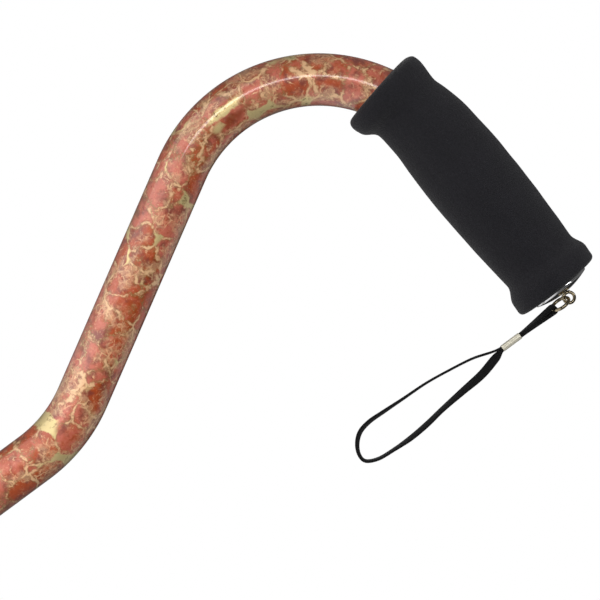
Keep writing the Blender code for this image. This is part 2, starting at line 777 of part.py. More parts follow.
MARBLE = material("marbled_enamel", (0.42, 0.12, 0.08), 0.18, 0.0)
FOAM = material("black_foam", (0.02, 0.02, 0.022), 0.9, 0.0)
CHROME = material("chrome", (0.85, 0.85, 0.86), 0.08, 1.0)
CLOTH = material("black_webbing", (0.015, 0.015, 0.015), 0.8, 0.0)
BRASS = material("pale_brass", (0.80, 0.70, 0.46), 0.25, 1.0)
ALUMINIUM = material("bare_aluminium", (0.72, 0.72, 0.73), 0.35, 1.0)
STEEL = material("spring_steel", (0.55, 0.56, 0.58), 0.3, 1.0)
NYLON = material("black_nylon", (0.03, 0.03, 0.03), 0.5, 0.0)
RUBBER = material("black_rubber", (0.025, 0.025, 0.025), 0.85, 0.0)

make_upper_tube(MARBLE)
make_foam_grip(FOAM)

HANDLE_END = add_handle_end()
make_end_cap(CHROME, HANDLE_END)
make_strap_eye(CHROME, HANDLE_END)
make_eye_nut(STEEL, HANDLE_END)

RING = make_strap_ring(CHROME)
STRAP_HANG = add_empty("strap_hang", Matrix.Translation(RING.location - Vector((0, 0, 2 * RING_RADIUS))))
make_strap_neck(CLOTH, STRAP_HANG)
make_strap_ferrule(BRASS, STRAP_HANG)
make_wrist_loop(CLOTH, STRAP_HANG)

make_collet_bush(NYLON)
make_locking_collar(NYLON)
make_lower_tube(ALUMINIUM)
make_top_plug(NYLON)
make_snap_button(STEEL)
make_button_spring(STEEL)
make_rubber_tip(RUBBER)
make_tip_washer(STEEL)
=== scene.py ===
"""Height-adjustable offset cane, finished piece by piece round its packed frame.

The file is laid out as an add-on and run as a script. Units are metres, +Z is up, the shaft lies on the
Z axis, the handle points to +X and the locking holes face -Y.
"""

import json
from math import cos, pi, radians, sin, sqrt

import bmesh
import bpy
from bpy.props import FloatProperty, FloatVectorProperty, IntProperty, PointerProperty
from bpy.types import Operator, Panel, PropertyGroup
from mathutils import Matrix, Vector
from mathutils.geometry import interpolate_bezier
from mathutils.noise import noise

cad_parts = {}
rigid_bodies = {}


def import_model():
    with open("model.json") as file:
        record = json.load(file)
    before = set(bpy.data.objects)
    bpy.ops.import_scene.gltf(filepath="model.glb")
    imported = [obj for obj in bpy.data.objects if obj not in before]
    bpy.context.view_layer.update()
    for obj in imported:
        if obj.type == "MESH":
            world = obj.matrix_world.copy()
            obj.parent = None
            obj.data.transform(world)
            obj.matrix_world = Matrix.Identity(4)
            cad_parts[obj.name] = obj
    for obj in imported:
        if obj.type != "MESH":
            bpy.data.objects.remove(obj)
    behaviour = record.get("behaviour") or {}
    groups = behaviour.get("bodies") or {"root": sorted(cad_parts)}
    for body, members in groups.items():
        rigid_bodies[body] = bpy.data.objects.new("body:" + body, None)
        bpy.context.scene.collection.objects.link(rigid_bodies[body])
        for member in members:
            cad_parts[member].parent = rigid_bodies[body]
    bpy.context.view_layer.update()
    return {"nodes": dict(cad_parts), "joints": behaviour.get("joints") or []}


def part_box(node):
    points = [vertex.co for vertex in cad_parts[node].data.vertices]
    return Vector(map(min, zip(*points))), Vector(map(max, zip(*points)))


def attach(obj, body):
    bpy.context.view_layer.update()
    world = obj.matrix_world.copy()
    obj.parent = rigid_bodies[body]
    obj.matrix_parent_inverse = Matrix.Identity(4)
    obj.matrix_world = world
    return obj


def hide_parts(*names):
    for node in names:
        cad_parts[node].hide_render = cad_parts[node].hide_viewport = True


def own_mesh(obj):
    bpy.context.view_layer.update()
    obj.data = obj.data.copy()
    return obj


bl_info = {
    "name": "Offset Cane",
    "version": (1, 0, 0),
    "blender": (4, 5, 0),
    "location": "View3D > Sidebar > Cane",
    "description": "Makes the finished pieces of an offset cane round its packed frame",
    "category": "Add Mesh",
}

for leftover in list(bpy.data.objects):
    bpy.data.objects.remove(leftover)

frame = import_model()

JOINTS = {joint["name"]: joint for joint in frame["joints"]}

# Room between pieces that fit into each other, the angle past which an edge is drawn sharp,
# and the turn that makes Z face the locking holes' side
GAP = 0.0003
SHARP = radians(40)
FACING = Matrix.Rotation(pi / 2, 4, "X")

# Tubes
UPPER_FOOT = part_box("upper_tube")[0].z
UPPER_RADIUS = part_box("upper_tube")[1].y
LOWER_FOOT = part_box("lower_tube")[0].z
LOWER_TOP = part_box("lower_tube")[1].z
LOWER_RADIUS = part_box("lower_tube")[1].x
SHAFT_LENGTH = 0.3659
MIDDLE_LENGTH = 0.1055
HANDLE_LENGTH = 0.0835
BEND_RADIUS = 0.0635
LOWER_BEND = radians(30)
UPPER_BEND = radians(117)
HANDLE_RISE = pi / 2 + LOWER_BEND - UPPER_BEND
BEND_START = UPPER_FOOT + SHAFT_LENGTH
HOLE_RADIUS = 0.0034
FIRST_HOLE = 0.050
LOWER_WALL = 0.0012
TUBE_SIDES = 96
LOWER_BEND_STEPS = 20
MIDDLE_STEPS = 4
UPPER_BEND_STEPS = 72

# Foam grip: where its front face lies from the upper bend's end, and the rest measured from that face
GRIP_FRONT = -0.0310
GRIP_LENGTH = HANDLE_LENGTH - GRIP_FRONT
GRIP_BORE_GAP = 0.0004
GRIP_SKIN = UPPER_RADIUS + 2 * GRIP_BORE_GAP
GRIP_FRONT_LEAN = radians(12)
FRONT_EDGE = 0.0045
REAR_EDGE = 0.0020
FRONT_CREST = 0.0055
FRONT_NECK = 0.0155
BARREL = 0.0550
REAR_CREST = GRIP_LENGTH - 0.0060
REAR_NECK = REAR_CREST - 0.0075
FRONT_CREST_FOAM = 0.0094
FRONT_NECK_FOAM = 0.0058
BARREL_FOAM = 0.0082
REAR_NECK_FOAM = 0.0062
REAR_CREST_FOAM = 0.0088
FRONT_CREST_LIFT = 0.0004
FRONT_CREST_TILT = 0.0025
REAR_CREST_DROP = 0.0008
GRIP_SIDES = 112
LUMPS_PER_METRE = 110

# End cap, strap eye and ring
CAP_RADIUS = UPPER_RADIUS + 0.0019
CAP_RIM = 0.0010
CAP_DOME = 0.0024
CAP_SHANK = 0.0150
CAP_SHANK_RADIUS = UPPER_RADIUS - 0.0015
CAP_WALL = 0.0018
CAP_WEB = 0.0020
EYE_RADIUS = 0.0023
EYE_SHANK_RADIUS = 0.0013
EYE_SHANK = 0.0085
EYE_COLLAR_RADIUS = 0.0022
EYE_COLLAR = 0.0006
EYE_WIRE = 0.0007
EYE_SINK = 0.00035
EYE_PLAIN_SHANK = 0.0030
EYE_THREAD = 0.00044
RING_TOP = Vector(JOINTS["ring_swing"]["pos_m"])
RING_FOOT = Vector(JOINTS["strap_swing"]["pos_m"])
RING_RADIUS = (RING_TOP - RING_FOOT).length / 2
RING_TURN = radians(22)
RING_WIRE = 0.00075
RING_OPENING = 0.00012
RING_OPENING_PLACE = radians(115)

# Wrist strap, with drops measured from the middle of the ring's lowest wire
NECK_DROP = 0.0178
STRAP_SLACK = 0.00003
FOLD_SLACK = 0.00012
STRAP_SIDES = 24
FERRULE_LEAN = 0.0006
FERRULE_LENGTH = 0.0094
FERRULE_DEPTH = 0.0046
FERRULE_THICKNESS = 0.0027
FERRULE_ROUNDING = 0.0009
FERRULE_RINGS = 0.0009

# The strap's loop, from the ferrule round to the ferrule: sideways, drop, and twist in degrees
LOOP_ROUTE = [
    (-0.0016, 0.0320, 4),
    (-0.0042, 0.0400, 5),
    (-0.0061, 0.0510, 5),
    (-0.0075, 0.0620, 6),
    (-0.0080, 0.0740, 10),
    (-0.0085, 0.0840, 18),
    (-0.0087, 0.0910, 23),
    (-0.0075, 0.0967, 25),
    (-0.0042, 0.1007, 20),
    (0.0000, 0.1028, 12),
    (0.0038, 0.1022, 8),
    (0.0063, 0.0972, 8),
    (0.0071, 0.0895, 10),
    (0.0074, 0.0810, 24),
    (0.0068, 0.0720, 28),
    (0.0056, 0.0630, 25),
    (0.0046, 0.0520, 40),
    (0.0037, 0.0410, 64),
    (0.0017, 0.0325, 66),
]

# Bush and collar, below the upper tube's end
BUSH_SOCKET = 0.0160
BUSH_RADIUS = UPPER_RADIUS + GAP + 0.0022
BUSH_RIM = 0.0012
SHOULDER = -GAP - 0.0025
TAPER = SHOULDER - 0.0065
FINGER_TIPS = TAPER - 0.0070
SLEEVE_BORE = LOWER_RADIUS + GAP
BUSH_NECK = SLEEVE_BORE + 0.0028
FINGER_WALL = 0.0011
BUSH_THREAD = 0.0018
BUSH_THREAD_DEPTH = 0.0006
BUSH_SLOTS = 6
BUSH_SLOT = 0.0014
COLLAR_BORE = SLEEVE_BORE + 0.0031
COLLAR_RADIUS = COLLAR_BORE + 0.0030
COLLAR_CHAMFER = 0.0020
COLLAR_LIP = 0.0030
FLUTE_DEPTH = 0.0008

# Snap button and leaf spring
BUTTON_HEIGHT = sum(corner.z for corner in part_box("snap_button")) / 2
BUTTON_TIP = -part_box("snap_button")[0].y
BUTTON_FLANGE = -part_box("snap_button")[1].y
BUTTON_RADIUS = 0.0031
BUTTON_CROWN = 0.0014
FLANGE_RADIUS = 0.0040
FLANGE_THICKNESS = 0.0008
SPRING_WIDTH = 0.0060
SPRING_STRIP = 0.0005
SPRING_LENGTH = 0.046
SPRING_TURN = 0.0030

# Rubber tip
TIP_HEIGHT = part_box("rubber_tip")[1].z
TIP_FLOOR = 0.0120
TIP_WALL = 0.0042
TIP_CUFF = 0.0052
TIP_CUFF_HEIGHT = 0.0070
TIP_FLARE = 0.0050
TIP_FLARE_HEIGHT = 0.0120
TIP_BAND = 0.0060
TREAD_BORDER = 0.0030
TREAD_GROOVE = 0.0033
TREAD_RING = 0.0036
TREAD_DEPTH = 0.0020

# Middle of the picture, and the floor's radius
VIEW_MIDDLE = Vector((0.0132, 0, BEND_START + 0.1305))
FLOOR_RADIUS = 2.4


# Sizes and colours that a user would change


def length(name, description, default):
    return FloatProperty(name=name, description=description, default=default, min=0.0, unit="LENGTH", precision=5)


def colour(name, description, default):
    return FloatVectorProperty(
        name=name, description=description, default=default, min=0.0, max=1.0, size=3, subtype="COLOR"
    )


def power(name, description, default):
    return FloatProperty(name=name, description=description, default=default, min=0.0, unit="POWER")


def level(name, description, default):
    return FloatProperty(name=name, description=description, default=default, min=0.0)


def count(name, description, default, least, most):
    return IntProperty(name=name, description=description, default=default, min=least, max=most)


class CaneTubeSettings(PropertyGroup):
    """Upper tube and its marbled enamel."""

    wall: length("Wall", "Thickness of the tube's wall", 0.0012)
    holes: count("Holes", "Number of locking holes", 13, 1, 20)
    pitch: length("Hole pitch", "Distance from one locking hole to the next", 0.01905)
    patch: length("Patch size", "Usual width of a marbled patch", 0.0120)
    pebble: length("Pebble size", "Usual width of the small cells between patches", 0.0026)
    rose: colour("Rose", "Colour of the paler patches", (0.575, 0.147, 0.092))
    rust: colour("Rust", "Colour of the deeper patches", (0.44, 0.068, 0.012))
    plum: colour("Plum", "Colour of the patches' shaded parts", (0.180, 0.038, 0.026))
    peach: colour("Peach", "Colour of the pale veins", (0.86, 0.54, 0.29))
    gold: colour("Gold", "Colour of the gold pools", (0.88, 0.69, 0.32))
    olive: colour("Olive", "Colour of the patches' dull rims and the gold's shaded parts", (0.24, 0.13, 0.035))


class CaneGripSettings(PropertyGroup):
    """Foam grip."""

    foam: colour("Foam", "Colour of the foam's skin", (0.0103, 0.0100, 0.0123))
    cell: length("Cell size", "Usual width of a foam cell", 0.00055)
    swell: length("Unevenness", "Height of the foam's gentle lumps", 0.00018)


class CaneMetalSettings(PropertyGroup):
    """Chromed cap, eye and ring, and the steel pieces."""

    chrome: colour("Chrome", "Colour of the chrome", (0.86, 0.86, 0.87))
    steel: colour("Steel", "Colour of the bare steel", (0.52, 0.53, 0.55))
    aluminium: colour("Aluminium", "Colour of the bare aluminium", (0.74, 0.74, 0.75))
    brass: colour("Brass", "Colour of the ferrule", (0.98, 0.93, 0.76))
    ring: colour("Ring", "Colour of the eye and the ring", (0.50, 0.42, 0.28))
    wire: length("Wire", "Radius of the ring's wire", RING_WIRE)


class CaneStrapSettings(PropertyGroup):
    """Wrist strap."""

    width: length("Width", "Width of the flat braid", 0.0039)
    thickness: length("Thickness", "Thickness of the flat braid", 0.00105)
    rib: length("Rib pitch", "Distance from one rib of the braid to the next", 0.00075)
    yarn: colour("Yarn", "Colour of the braid", (0.0040, 0.0040, 0.0043))


class CaneLegSettings(PropertyGroup):
    """Bush, collar and rubber tip."""

    flutes: count("Flutes", "Number of flutes round the collar", 14, 6, 30)
    nylon: colour("Nylon", "Colour of the moulded pieces", (0.022, 0.022, 0.023))
    rubber: colour("Rubber", "Colour of the tip", (0.024, 0.0235, 0.023))


class CaneStageSettings(PropertyGroup):
    """Camera, lights and floor."""

    distance: length("Distance", "Distance from the camera to the cane", 0.90)
    width: length("View width", "Width of the picture at the cane", 0.25485)
    roll: FloatProperty(
        name="Roll",
        description="How far the picture turns the cane to the right",
        default=radians(53.5),
        unit="ROTATION",
    )
    floor: colour("Floor", "Colour of the floor", (0.86, 0.86, 0.86))
    glow: level("Floor glow", "Light that the floor gives off by itself", 0.42)
    room: level("Room", "Brightness of the room all round", 0.12)
    strip: power("Strip light", "Power of the long soft light", 1.7)
    left: power("Left light", "Power of the broad light", 1.25)
    fill: power("Fill light", "Power of the light near the camera", 2.4)
    right: power("Right light", "Power of the light beyond the handle", 2.0)
    top: power("Top light", "Power of the light above the grip", 5.2)
    back: power("Back light", "Power of the light above and behind", 5.5)


# Shader nodes as expressions


class Link:
    """An output of a shader node. Arithmetic on it adds Math nodes."""

    def __init__(self, finish, socket):
        self.finish = finish
        self.socket = socket

    def maths(self, operation, *values):
        return self.finish.node("ShaderNodeMath", {"operation": operation}, dict(enumerate(values)))

    def __add__(self, other):
        return self.maths("ADD", self, other)

    __radd__ = __add__

    def __sub__(self, other):
        return self.maths("SUBTRACT", self, other)

    def __rsub__(self, other):
        return self.maths("SUBTRACT", other, self)

    def __mul__(self, other):
        return self.maths("MULTIPLY", self, other)

    __rmul__ = __mul__

    def __abs__(self):
        return self.maths("ABSOLUTE", self)

    def wave(self):
        return self.maths("SINE", self)

    def or_more(self, other):
        """The larger of this value and another."""
        return self.maths("MAXIMUM", self, other)


class Nodes:
    """A tree of shader nodes, with the ways to add to it."""

    def __init__(self, tree):
        self.tree = tree

    def feed(self, socket, value):
        if isinstance(value, Link):
            self.tree.links.new(value.socket, socket)
        elif socket.type == "RGBA" and len(value) == 3:
            socket.default_value = (*value, 1)
        else:
            socket.default_value = value

    def node(self, kind, settings=None, inputs=None, output=0):
        """Add a node of any type, with its settings, its inputs' values or links, and the output to use."""
        made = self.tree.nodes.new(kind)
        for name, value in (settings or {}).items():
            setattr(made, name, value)
        for name, value in (inputs or {}).items():
            self.feed(made.inputs[name], value)
        return Link(self, made.outputs[output])

    def place(self):
        return self.node("ShaderNodeTexCoord", output="Object")

    def vectors(self, operation, first, second=(0, 0, 0), output="Vector"):
        return self.node("ShaderNodeVectorMath", {"operation": operation}, {0: first, 1: second}, output)

    def stretched(self, vector, scale):
        return self.node("ShaderNodeMapping", inputs={"Vector": vector, "Scale": scale})

    def cloud(self, vector, size, detail=2.0, roughness=0.5, output="Fac"):
        """Soft noise whose lumps are about one size across."""
        inputs = {"Vector": vector, "Scale": 1 / size, "Detail": detail, "Roughness": roughness}
        return self.node("ShaderNodeTexNoise", inputs=inputs, output=output)

    def cells(self, vector, size, feature="F1", output="Distance"):
        inputs = {"Vector": vector, "Scale": 1 / size}
        return self.node("ShaderNodeTexVoronoi", {"feature": feature}, inputs, output)

    def vein(self, vector, size, core, reach):
        """Lines between cells of one size, solid up to a core and faded out at a reach, both half widths."""
        return 1 - self.fade(self.cells(vector, size, "DISTANCE_TO_EDGE"), core / size, reach / size)

    def blot(self, vector, place, heading, size, core):
        """Patch round a place, full to a core share of its half sizes: along a heading in XZ, along Y, across."""
        centred = {"Vector": vector, "Location": place, "Rotation": (0, -heading, 0), "Scale": size}
        offset = self.node("ShaderNodeMapping", {"vector_type": "TEXTURE"}, centred)
        return 1 - self.fade(self.vectors("LENGTH", offset, output="Value"), core, 1.0)

    def stirred(self, vector, size, reach, detail=2.0):
        """Shift a vector by up to a reach, with a swirl of one size."""
        swirl = self.vectors("SUBTRACT", self.cloud(vector, size, detail, output="Color"), (0.5, 0.5, 0.5))
        shift = self.vectors("MULTIPLY", swirl, (2 * reach, 2 * reach, 2 * reach))
        return self.vectors("ADD", vector, shift)

    def fade(self, value, low, high):
        """Smooth step from 0 at the low value to 1 at the high one."""
        inputs = {"Value": value, "From Min": low, "From Max": high}
        return self.node("ShaderNodeMapRange", {"interpolation_type": "SMOOTHSTEP"}, inputs)

    def part(self, vector, axis):
        return self.node("ShaderNodeSeparateXYZ", inputs={"Vector": vector}, output=axis)

    def mix(self, factor, first, second):
        """Mix two colours."""
        return self.node("ShaderNodeMix", {"data_type": "RGBA"}, {0: factor, 6: first, 7: second}, 2)

    def bump(self, height, distance, strength):
        inputs = {"Height": height, "Distance": distance, "Strength": strength}
        return self.node("ShaderNodeBump", inputs=inputs)


class Finish(Nodes):
    """The nodes of one new material."""

    def __init__(self, name, **constants):
        self.material = bpy.data.materials.new(name)
        self.material.use_nodes = True
        super().__init__(self.material.node_tree)
        self.shader = self.tree.nodes["Principled BSDF"]
        self.set(**constants)

    def set(self, **values):
        """Feed the surface's sockets, with their names in lower case and underscores for spaces."""
        for name, value in values.items():
            self.feed(self.shader.inputs[name.replace("_", " ").title().replace("Ior", "IOR")], value)


# Finishes


def toned(tint, factor, lift=0.0):
    """A colour made paler or darker."""
    return [min(1, channel * factor + lift) for channel in tint]


def marbled_enamel(tube):
    """Terracotta patches and pebbles with pale veins and gold between them, under a clear coat."""
    finish = Finish("marbled_enamel", specular_ior_level=1.0, coat_weight=1.0, coat_roughness=0.05, coat_ior=1.6)
    fade, cloud = finish.fade, finish.cloud
    place = finish.place()
    flow = finish.stirred(place, 0.008, 0.0036, detail=4)
    mottle = cloud(flow, 0.0030, detail=4, roughness=0.65)
    fine = cloud(place, 0.0010, detail=3, roughness=0.6)
    broad = cloud(place, 0.014)
    pebbled = fade(cloud(place, 0.011), 0.49, 0.60)

    # Pale veins: cracks between the patches, thinner branches, the small pebbles' net, specks and mist
    crack = finish.vein(flow, tube.patch, 0.00022, 0.00075) * fade(mottle + 0.5 * broad, 0.66, 0.84)
    creased = finish.stirred(place, 0.004, 0.0022, detail=3)
    branch = finish.vein(creased, 0.0062, 0.00010, 0.00050) * fade(mottle + 0.4 * broad, 0.70, 0.90)
    crumpled = finish.stirred(place, tube.pebble * 1.3, 0.0011)
    broken = fade(fine + 0.5 * pebbled, 0.52, 0.95) * fade(cloud(place, 0.0017, detail=3), 0.36, 0.56)
    net = finish.vein(crumpled, tube.pebble, 0.00004, 0.00052) * broken
    mist = fade(cloud(flow, 0.0032, detail=5, roughness=0.7) + 0.15 * pebbled, 0.52, 0.74)
    fleck = (0.75 * net).or_more(0.40 * fade(fine, 0.58, 0.72)).or_more(0.42 * mist)
    pale = crack.or_more(branch).or_more(fleck)

    # Patches from rose to rust, with shaded parts, pits and edges
    tone = finish.part(finish.cells(flow, tube.patch, output="Color"), 0)
    patch = finish.mix(fade(0.5 * tone + mottle, 0.50, 0.95), tube.rose, tube.rust)
    patch = finish.mix(0.8 * fade(cloud(flow, 0.0055, detail=4), 0.44, 0.66), patch, tube.plum)
    umber = toned(tube.rust, 0.55)
    pit = (1 - fade(fine, 0.38, 0.48)) * fade(mottle + 0.3 * pebbled, 0.45, 0.75)
    patch = finish.mix(0.8 * pit, patch, umber)
    edge = finish.cells(flow, tube.patch, "DISTANCE_TO_EDGE")
    rim = (1 - fade(edge, 0.02, 0.13)) * fade(fine + 0.5 * mottle, 0.60, 0.85)
    patch = finish.mix(0.8 * rim, patch, tube.olive)
    patch = finish.mix(0.85 * pale, patch, tube.peach)

    # Pools of gold, with the largest one and its dark edge on the upper bend's front
    pool = fade(finish.cells(flow, tube.patch), 0.67, 0.73) * fade(cloud(place, 0.018, detail=1), 0.52, 0.58)
    streak, heading = bend_front(radians(27))
    below = streak - 0.0045 * direction(heading + pi / 2)
    patch = finish.mix(0.8 * finish.blot(flow, below, heading, (0.016, 0.009, 0.0030), 0.2), patch, umber)
    pool = pool.or_more(finish.blot(flow, streak, heading, (0.011, 0.007, 0.0021), 0.6))
    metal = finish.mix(fade(mottle + 0.4 * fine, 0.72, 0.97), tube.gold, tube.olive)
    finish.set(
        base_color=finish.mix(pool, patch, metal),
        metallic=0.25 + 0.35 * pool,
        roughness=0.30 + 0.10 * fine,
        normal=finish.bump(cloud(place, 0.0045), 0.00015, 0.5),
    )
    return finish.material


def black_foam(grip):
    """Closed-cell foam with a dull, finely pitted skin, its pits darkened by painted shade."""
    finish = Finish("black_foam", specular_ior_level=0.28, sheen_weight=0.10, sheen_roughness=0.5)
    place = finish.place()
    pits_and_pit_shade = finish.fade(finish.cells(place, grip.cell), 0.15, 0.65)
    grain = finish.cloud(place, grip.cell * 2.5, detail=3, roughness=0.65)
    patch = finish.cloud(place, 0.012, detail=3)
    worn = finish.mix(patch, grip.foam, toned(grip.foam, 1.45))
    # Painted shade: the colour darkens in the pits, where the bump sinks the skin
    finish.set(
        base_color=finish.mix(0.7 * pits_and_pit_shade * grain + 0.1, worn, toned(grip.foam, 0.55)),
        roughness=0.80 + 0.15 * grain,
        normal=finish.bump(grain - 0.6 * pits_and_pit_shade, 0.00022, 0.7),
    )
    return finish.material


def bright_metal(name, tint, dullness):
    """Plated or drawn metal with faint smears and fine scratches."""
    finish = Finish(name, metallic=1.0)
    place = finish.place()
    smear = finish.cloud(place, 0.006, detail=4, roughness=0.6)
    scratch = finish.cloud(finish.stretched(place, (6.0, 6.0, 1.0)), 0.0015, detail=3)
    finish.set(
        base_color=finish.mix(finish.fade(smear, 0.45, 0.75), tint, toned(tint, 0.86)),
        roughness=dullness * (0.6 + 0.5 * smear + 0.3 * scratch),
        normal=finish.bump(scratch, 0.000012, 0.5),
    )
    return finish.material


def folded_brass(metals):
    """Pale sheet brass with the two dark lines of its folded seam."""
    finish = Finish("ferrule_brass", metallic=0.6)
    place = finish.place()
    smear = finish.cloud(place, 0.0020)
    middle = RING_FOOT.x + FERRULE_LEAN
    seam = 1 - finish.fade(abs(abs(finish.part(place, 0) - middle) - 0.00050), 0.00004, 0.00016)
    finish.set(
        base_color=finish.mix(0.75 * seam, metals.brass, toned(metals.brass, 0.35)),
        roughness=0.34 + 0.12 * smear,
        normal=finish.bump(0.1 * smear - seam, 0.00004, 0.6),
    )
    return finish.material


def drawn_aluminium(metals):
    """Tube as drawn: fine lines along it, and rubbed rings where it slides in the bush."""
    finish = Finish("drawn_aluminium", metallic=1.0)
    place = finish.place()
    lines = finish.cloud(finish.stretched(place, (1.0, 1.0, 0.012)), 0.00035, detail=3, roughness=0.6)
    smear = finish.cloud(finish.stretched(place, (1.0, 1.0, 0.35)), 0.012, detail=4)
    rubbed = finish.cloud(finish.stretched(place, (0.15, 0.15, 1.0)), 0.0016)
    dark = toned(metals.aluminium, 0.80)
    finish.set(
        base_color=finish.mix(0.6 * finish.fade(smear, 0.40, 0.75), metals.aluminium, dark),
        roughness=0.24 + 0.10 * lines + 0.10 * smear + 0.05 * rubbed,
        normal=finish.bump(lines + 0.3 * rubbed, 0.000025, 0.6),
    )
    return finish.material


def moulded(name, tint, grain_size, gloss):
    """Moulded nylon or rubber with a fine grain and a little dust."""
    finish = Finish(name, specular_ior_level=0.5)
    place = finish.place()
    grain = finish.cloud(place, grain_size, detail=3, roughness=0.6)
    cloudy = finish.cloud(place, 0.009, detail=4, roughness=0.6)
    finish.set(
        base_color=finish.mix(0.7 * finish.fade(cloudy, 0.42, 0.78), tint, toned(tint, 1.8, 0.004)),
        roughness=gloss + 0.14 * cloudy + 0.08 * grain,
        normal=finish.bump(grain, grain_size * 0.10, 0.6),
    )
    return finish.material


def black_braid(strap):
    """Flat braid: ribs that meet in a chevron along the middle, with painted shade in the grooves and painted light
    on the crests. The UV map runs in metres.
    """
    finish = Finish("black_braid", specular_ior_level=0.2, sheen_weight=0.06, sheen_roughness=0.5)
    weave = finish.node("ShaderNodeTexCoord", output="UV")
    across = abs(finish.part(weave, 0))
    along = finish.part(weave, 1)
    turn = 2 * pi / strap.rib
    rib = (turn * (along + 0.9 * across)).wave()
    yarn = (1.6 * turn * (across - 0.35 * along)).wave()
    fuzz = finish.cloud(finish.place(), 0.0004, detail=3, roughness=0.7)
    height = 0.5 + 0.35 * rib + 0.15 * yarn
    # Painted shade and light: the yarn darkens where the bump height is low and pales on the rib crests
    dark, pale = toned(strap.yarn, 0.45), toned(strap.yarn, 1.9)
    finish.set(
        base_color=finish.mix(finish.fade(height + 0.5 * fuzz, 0.35, 1.25), dark, pale),
        roughness=0.72 + 0.2 * fuzz,
        normal=finish.bump(height + 0.3 * fuzz, 0.00012, 0.8),
    )
    return finish.material


# Making pieces


def add_piece(name, form, look, body, stands_for, sharp=SHARP):
    """Turn a finished form into a piece that rides on a body of the frame and stands for its nodes."""
    mesh = bpy.data.meshes.new(name)
    form.to_mesh(mesh)
    form.free()
    mesh.materials.append(look)
    mesh.shade_smooth()
    mesh.set_sharp_from_angle(angle=sharp)
    piece = bpy.data.objects.new(name, mesh)
    bpy.context.scene.collection.objects.link(piece)
    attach(piece, body)
    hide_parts(*stands_for)
    return piece


def add_modifier(piece, kind, **settings):
    modifier = piece.modifiers.new(kind.lower(), kind)
    for name, value in settings.items():
        setattr(modifier, name, value)


def settle(piece):
    """Apply a piece's modifiers to its mesh."""
    bpy.context.view_layer.update()
    ready = piece.evaluated_get(bpy.context.evaluated_depsgraph_get())
    mesh = bpy.data.meshes.new_from_object(ready)
    piece.modifiers.clear()
    piece.data = mesh
    mesh.shade_smooth()
    mesh.set_sharp_from_angle(angle=SHARP)


def cut(piece, cutter, rounding=0.0):
    """Cut a form out of a piece and round the edges that it leaves."""
    mesh = bpy.data.meshes.new("cutter")
    cutter.to_mesh(mesh)
    cutter.free()
    tool = bpy.data.objects.new("cutter", mesh)
    bpy.context.scene.collection.objects.link(tool)
    add_modifier(piece, "BOOLEAN", operation="DIFFERENCE", solver="EXACT", object=tool)
    if rounding:
        add_modifier(piece, "BEVEL", width=rounding, segments=2, limit_method="ANGLE", angle_limit=SHARP)
    settle(piece)
    bpy.data.objects.remove(tool)


def lathe(outline, sides, closed=False):
    """Turn an outline of (radius, height) points about Z."""
    form = bmesh.new()
    knots = [form.verts.new((radius, 0, height)) for radius, height in outline]
    edges = [form.edges.new(pair) for pair in zip(knots, knots[1:])]
    if closed:
        edges.append(form.edges.new((knots[-1], knots[0])))
    bmesh.ops.spin(
        form, geom=knots + edges, cent=(0, 0, 0), axis=(0, 0, 1), angle=2 * pi, steps=sides, use_merge=True
    )
    bmesh.ops.remove_doubles(form, verts=form.verts, dist=0.000001)
    bmesh.ops.recalc_face_normals(form, faces=form.faces)
    return form


def round_edges(form, edges, width, segments):
    bmesh.ops.bevel(
        form,
        geom=edges,
        offset=width,
        segments=segments,
        profile=0.5,
        affect="EDGES",
        clamp_overlap=True,
        material=-1,
    )


def soften(form, width, segments=3, angle=30):
    """Round every edge of a form that is sharper than an angle in degrees."""
    sharp = [edge for edge in form.edges if edge.is_manifold and edge.calc_face_angle() > radians(angle)]
    round_edges(form, sharp, width, segments)
    return form


def moved(form, place):
    bmesh.ops.transform(form, matrix=place, verts=form.verts)
    return form


def raised(form, height):
    return moved(form, Matrix.Translation((0, 0, height)))


def wire_ring(radius, wire, place, steps, opening=0.0):
    """Ring of round wire about Z, closed or with a narrow opening at its start."""
    form = bmesh.new()
    gap = opening / radius
    section = Matrix.Rotation(gap / 2, 4, "Z") @ Matrix.Translation((radius, 0, 0)) @ FACING
    bmesh.ops.create_circle(form, cap_ends=bool(opening), radius=wire, segments=20, matrix=section)
    geom = form.verts[:] + form.edges[:] + form.faces[:]
    round_trip = 2 * pi - gap
    bmesh.ops.spin(
        form, geom=geom, cent=(0, 0, 0), axis=(0, 0, 1), angle=round_trip, steps=steps, use_merge=not opening
    )
    bmesh.ops.recalc_face_normals(form, faces=form.faces)
    return moved(form, place)


def joined(whole, other):
    """One form that holds two."""
    mesh = bpy.data.meshes.new("joining")
    other.to_mesh(mesh)
    other.free()
    whole.from_mesh(mesh)
    bpy.data.meshes.remove(mesh)
    return whole


def verts_of(items):
    return [item for item in items if isinstance(item, bmesh.types.BMVert)]


def edges_of(ring):
    """The edges that join a ring's vertices, each once and in the same order on every run."""
    members = set(ring)
    edges = [edge for vert in ring for edge in vert.link_edges if edge.other_vert(vert) in members]
    return list(dict.fromkeys(edges))


def grown(form, ring, vec):
    """Extrude a ring of vertices by a vector, and give the new ring."""
    fresh = verts_of(bmesh.ops.extrude_edge_only(form, edges=edges_of(ring))["geom"])
    bmesh.ops.translate(form, vec=vec, verts=fresh)
    return fresh


def bent(form, ring, centre, angle, steps):
    """Spin a ring of vertices about a bend's centre, and give the new ring."""
    turned = bmesh.ops.spin(
        form, geom=ring + edges_of(ring), cent=centre, axis=(0, 1, 0), angle=angle, steps=steps, use_merge=False
    )
    return verts_of(turned["geom_last"])


def between(start, end, share):
    return start + (end - start) * share


def spread(start, end, count):
    """Evenly spaced values from start up to, but not including, end."""
    return [between(start, end, i / count) for i in range(count)]


def ease(along):
    """Smooth step from 0 to 1."""
    return (1 - cos(pi * min(1, max(0, along)))) / 2


# The tube's middle line


def direction(angle):
    """Unit vector in the XZ plane, at an angle above +X."""
    return Vector((cos(angle), 0, sin(angle)))


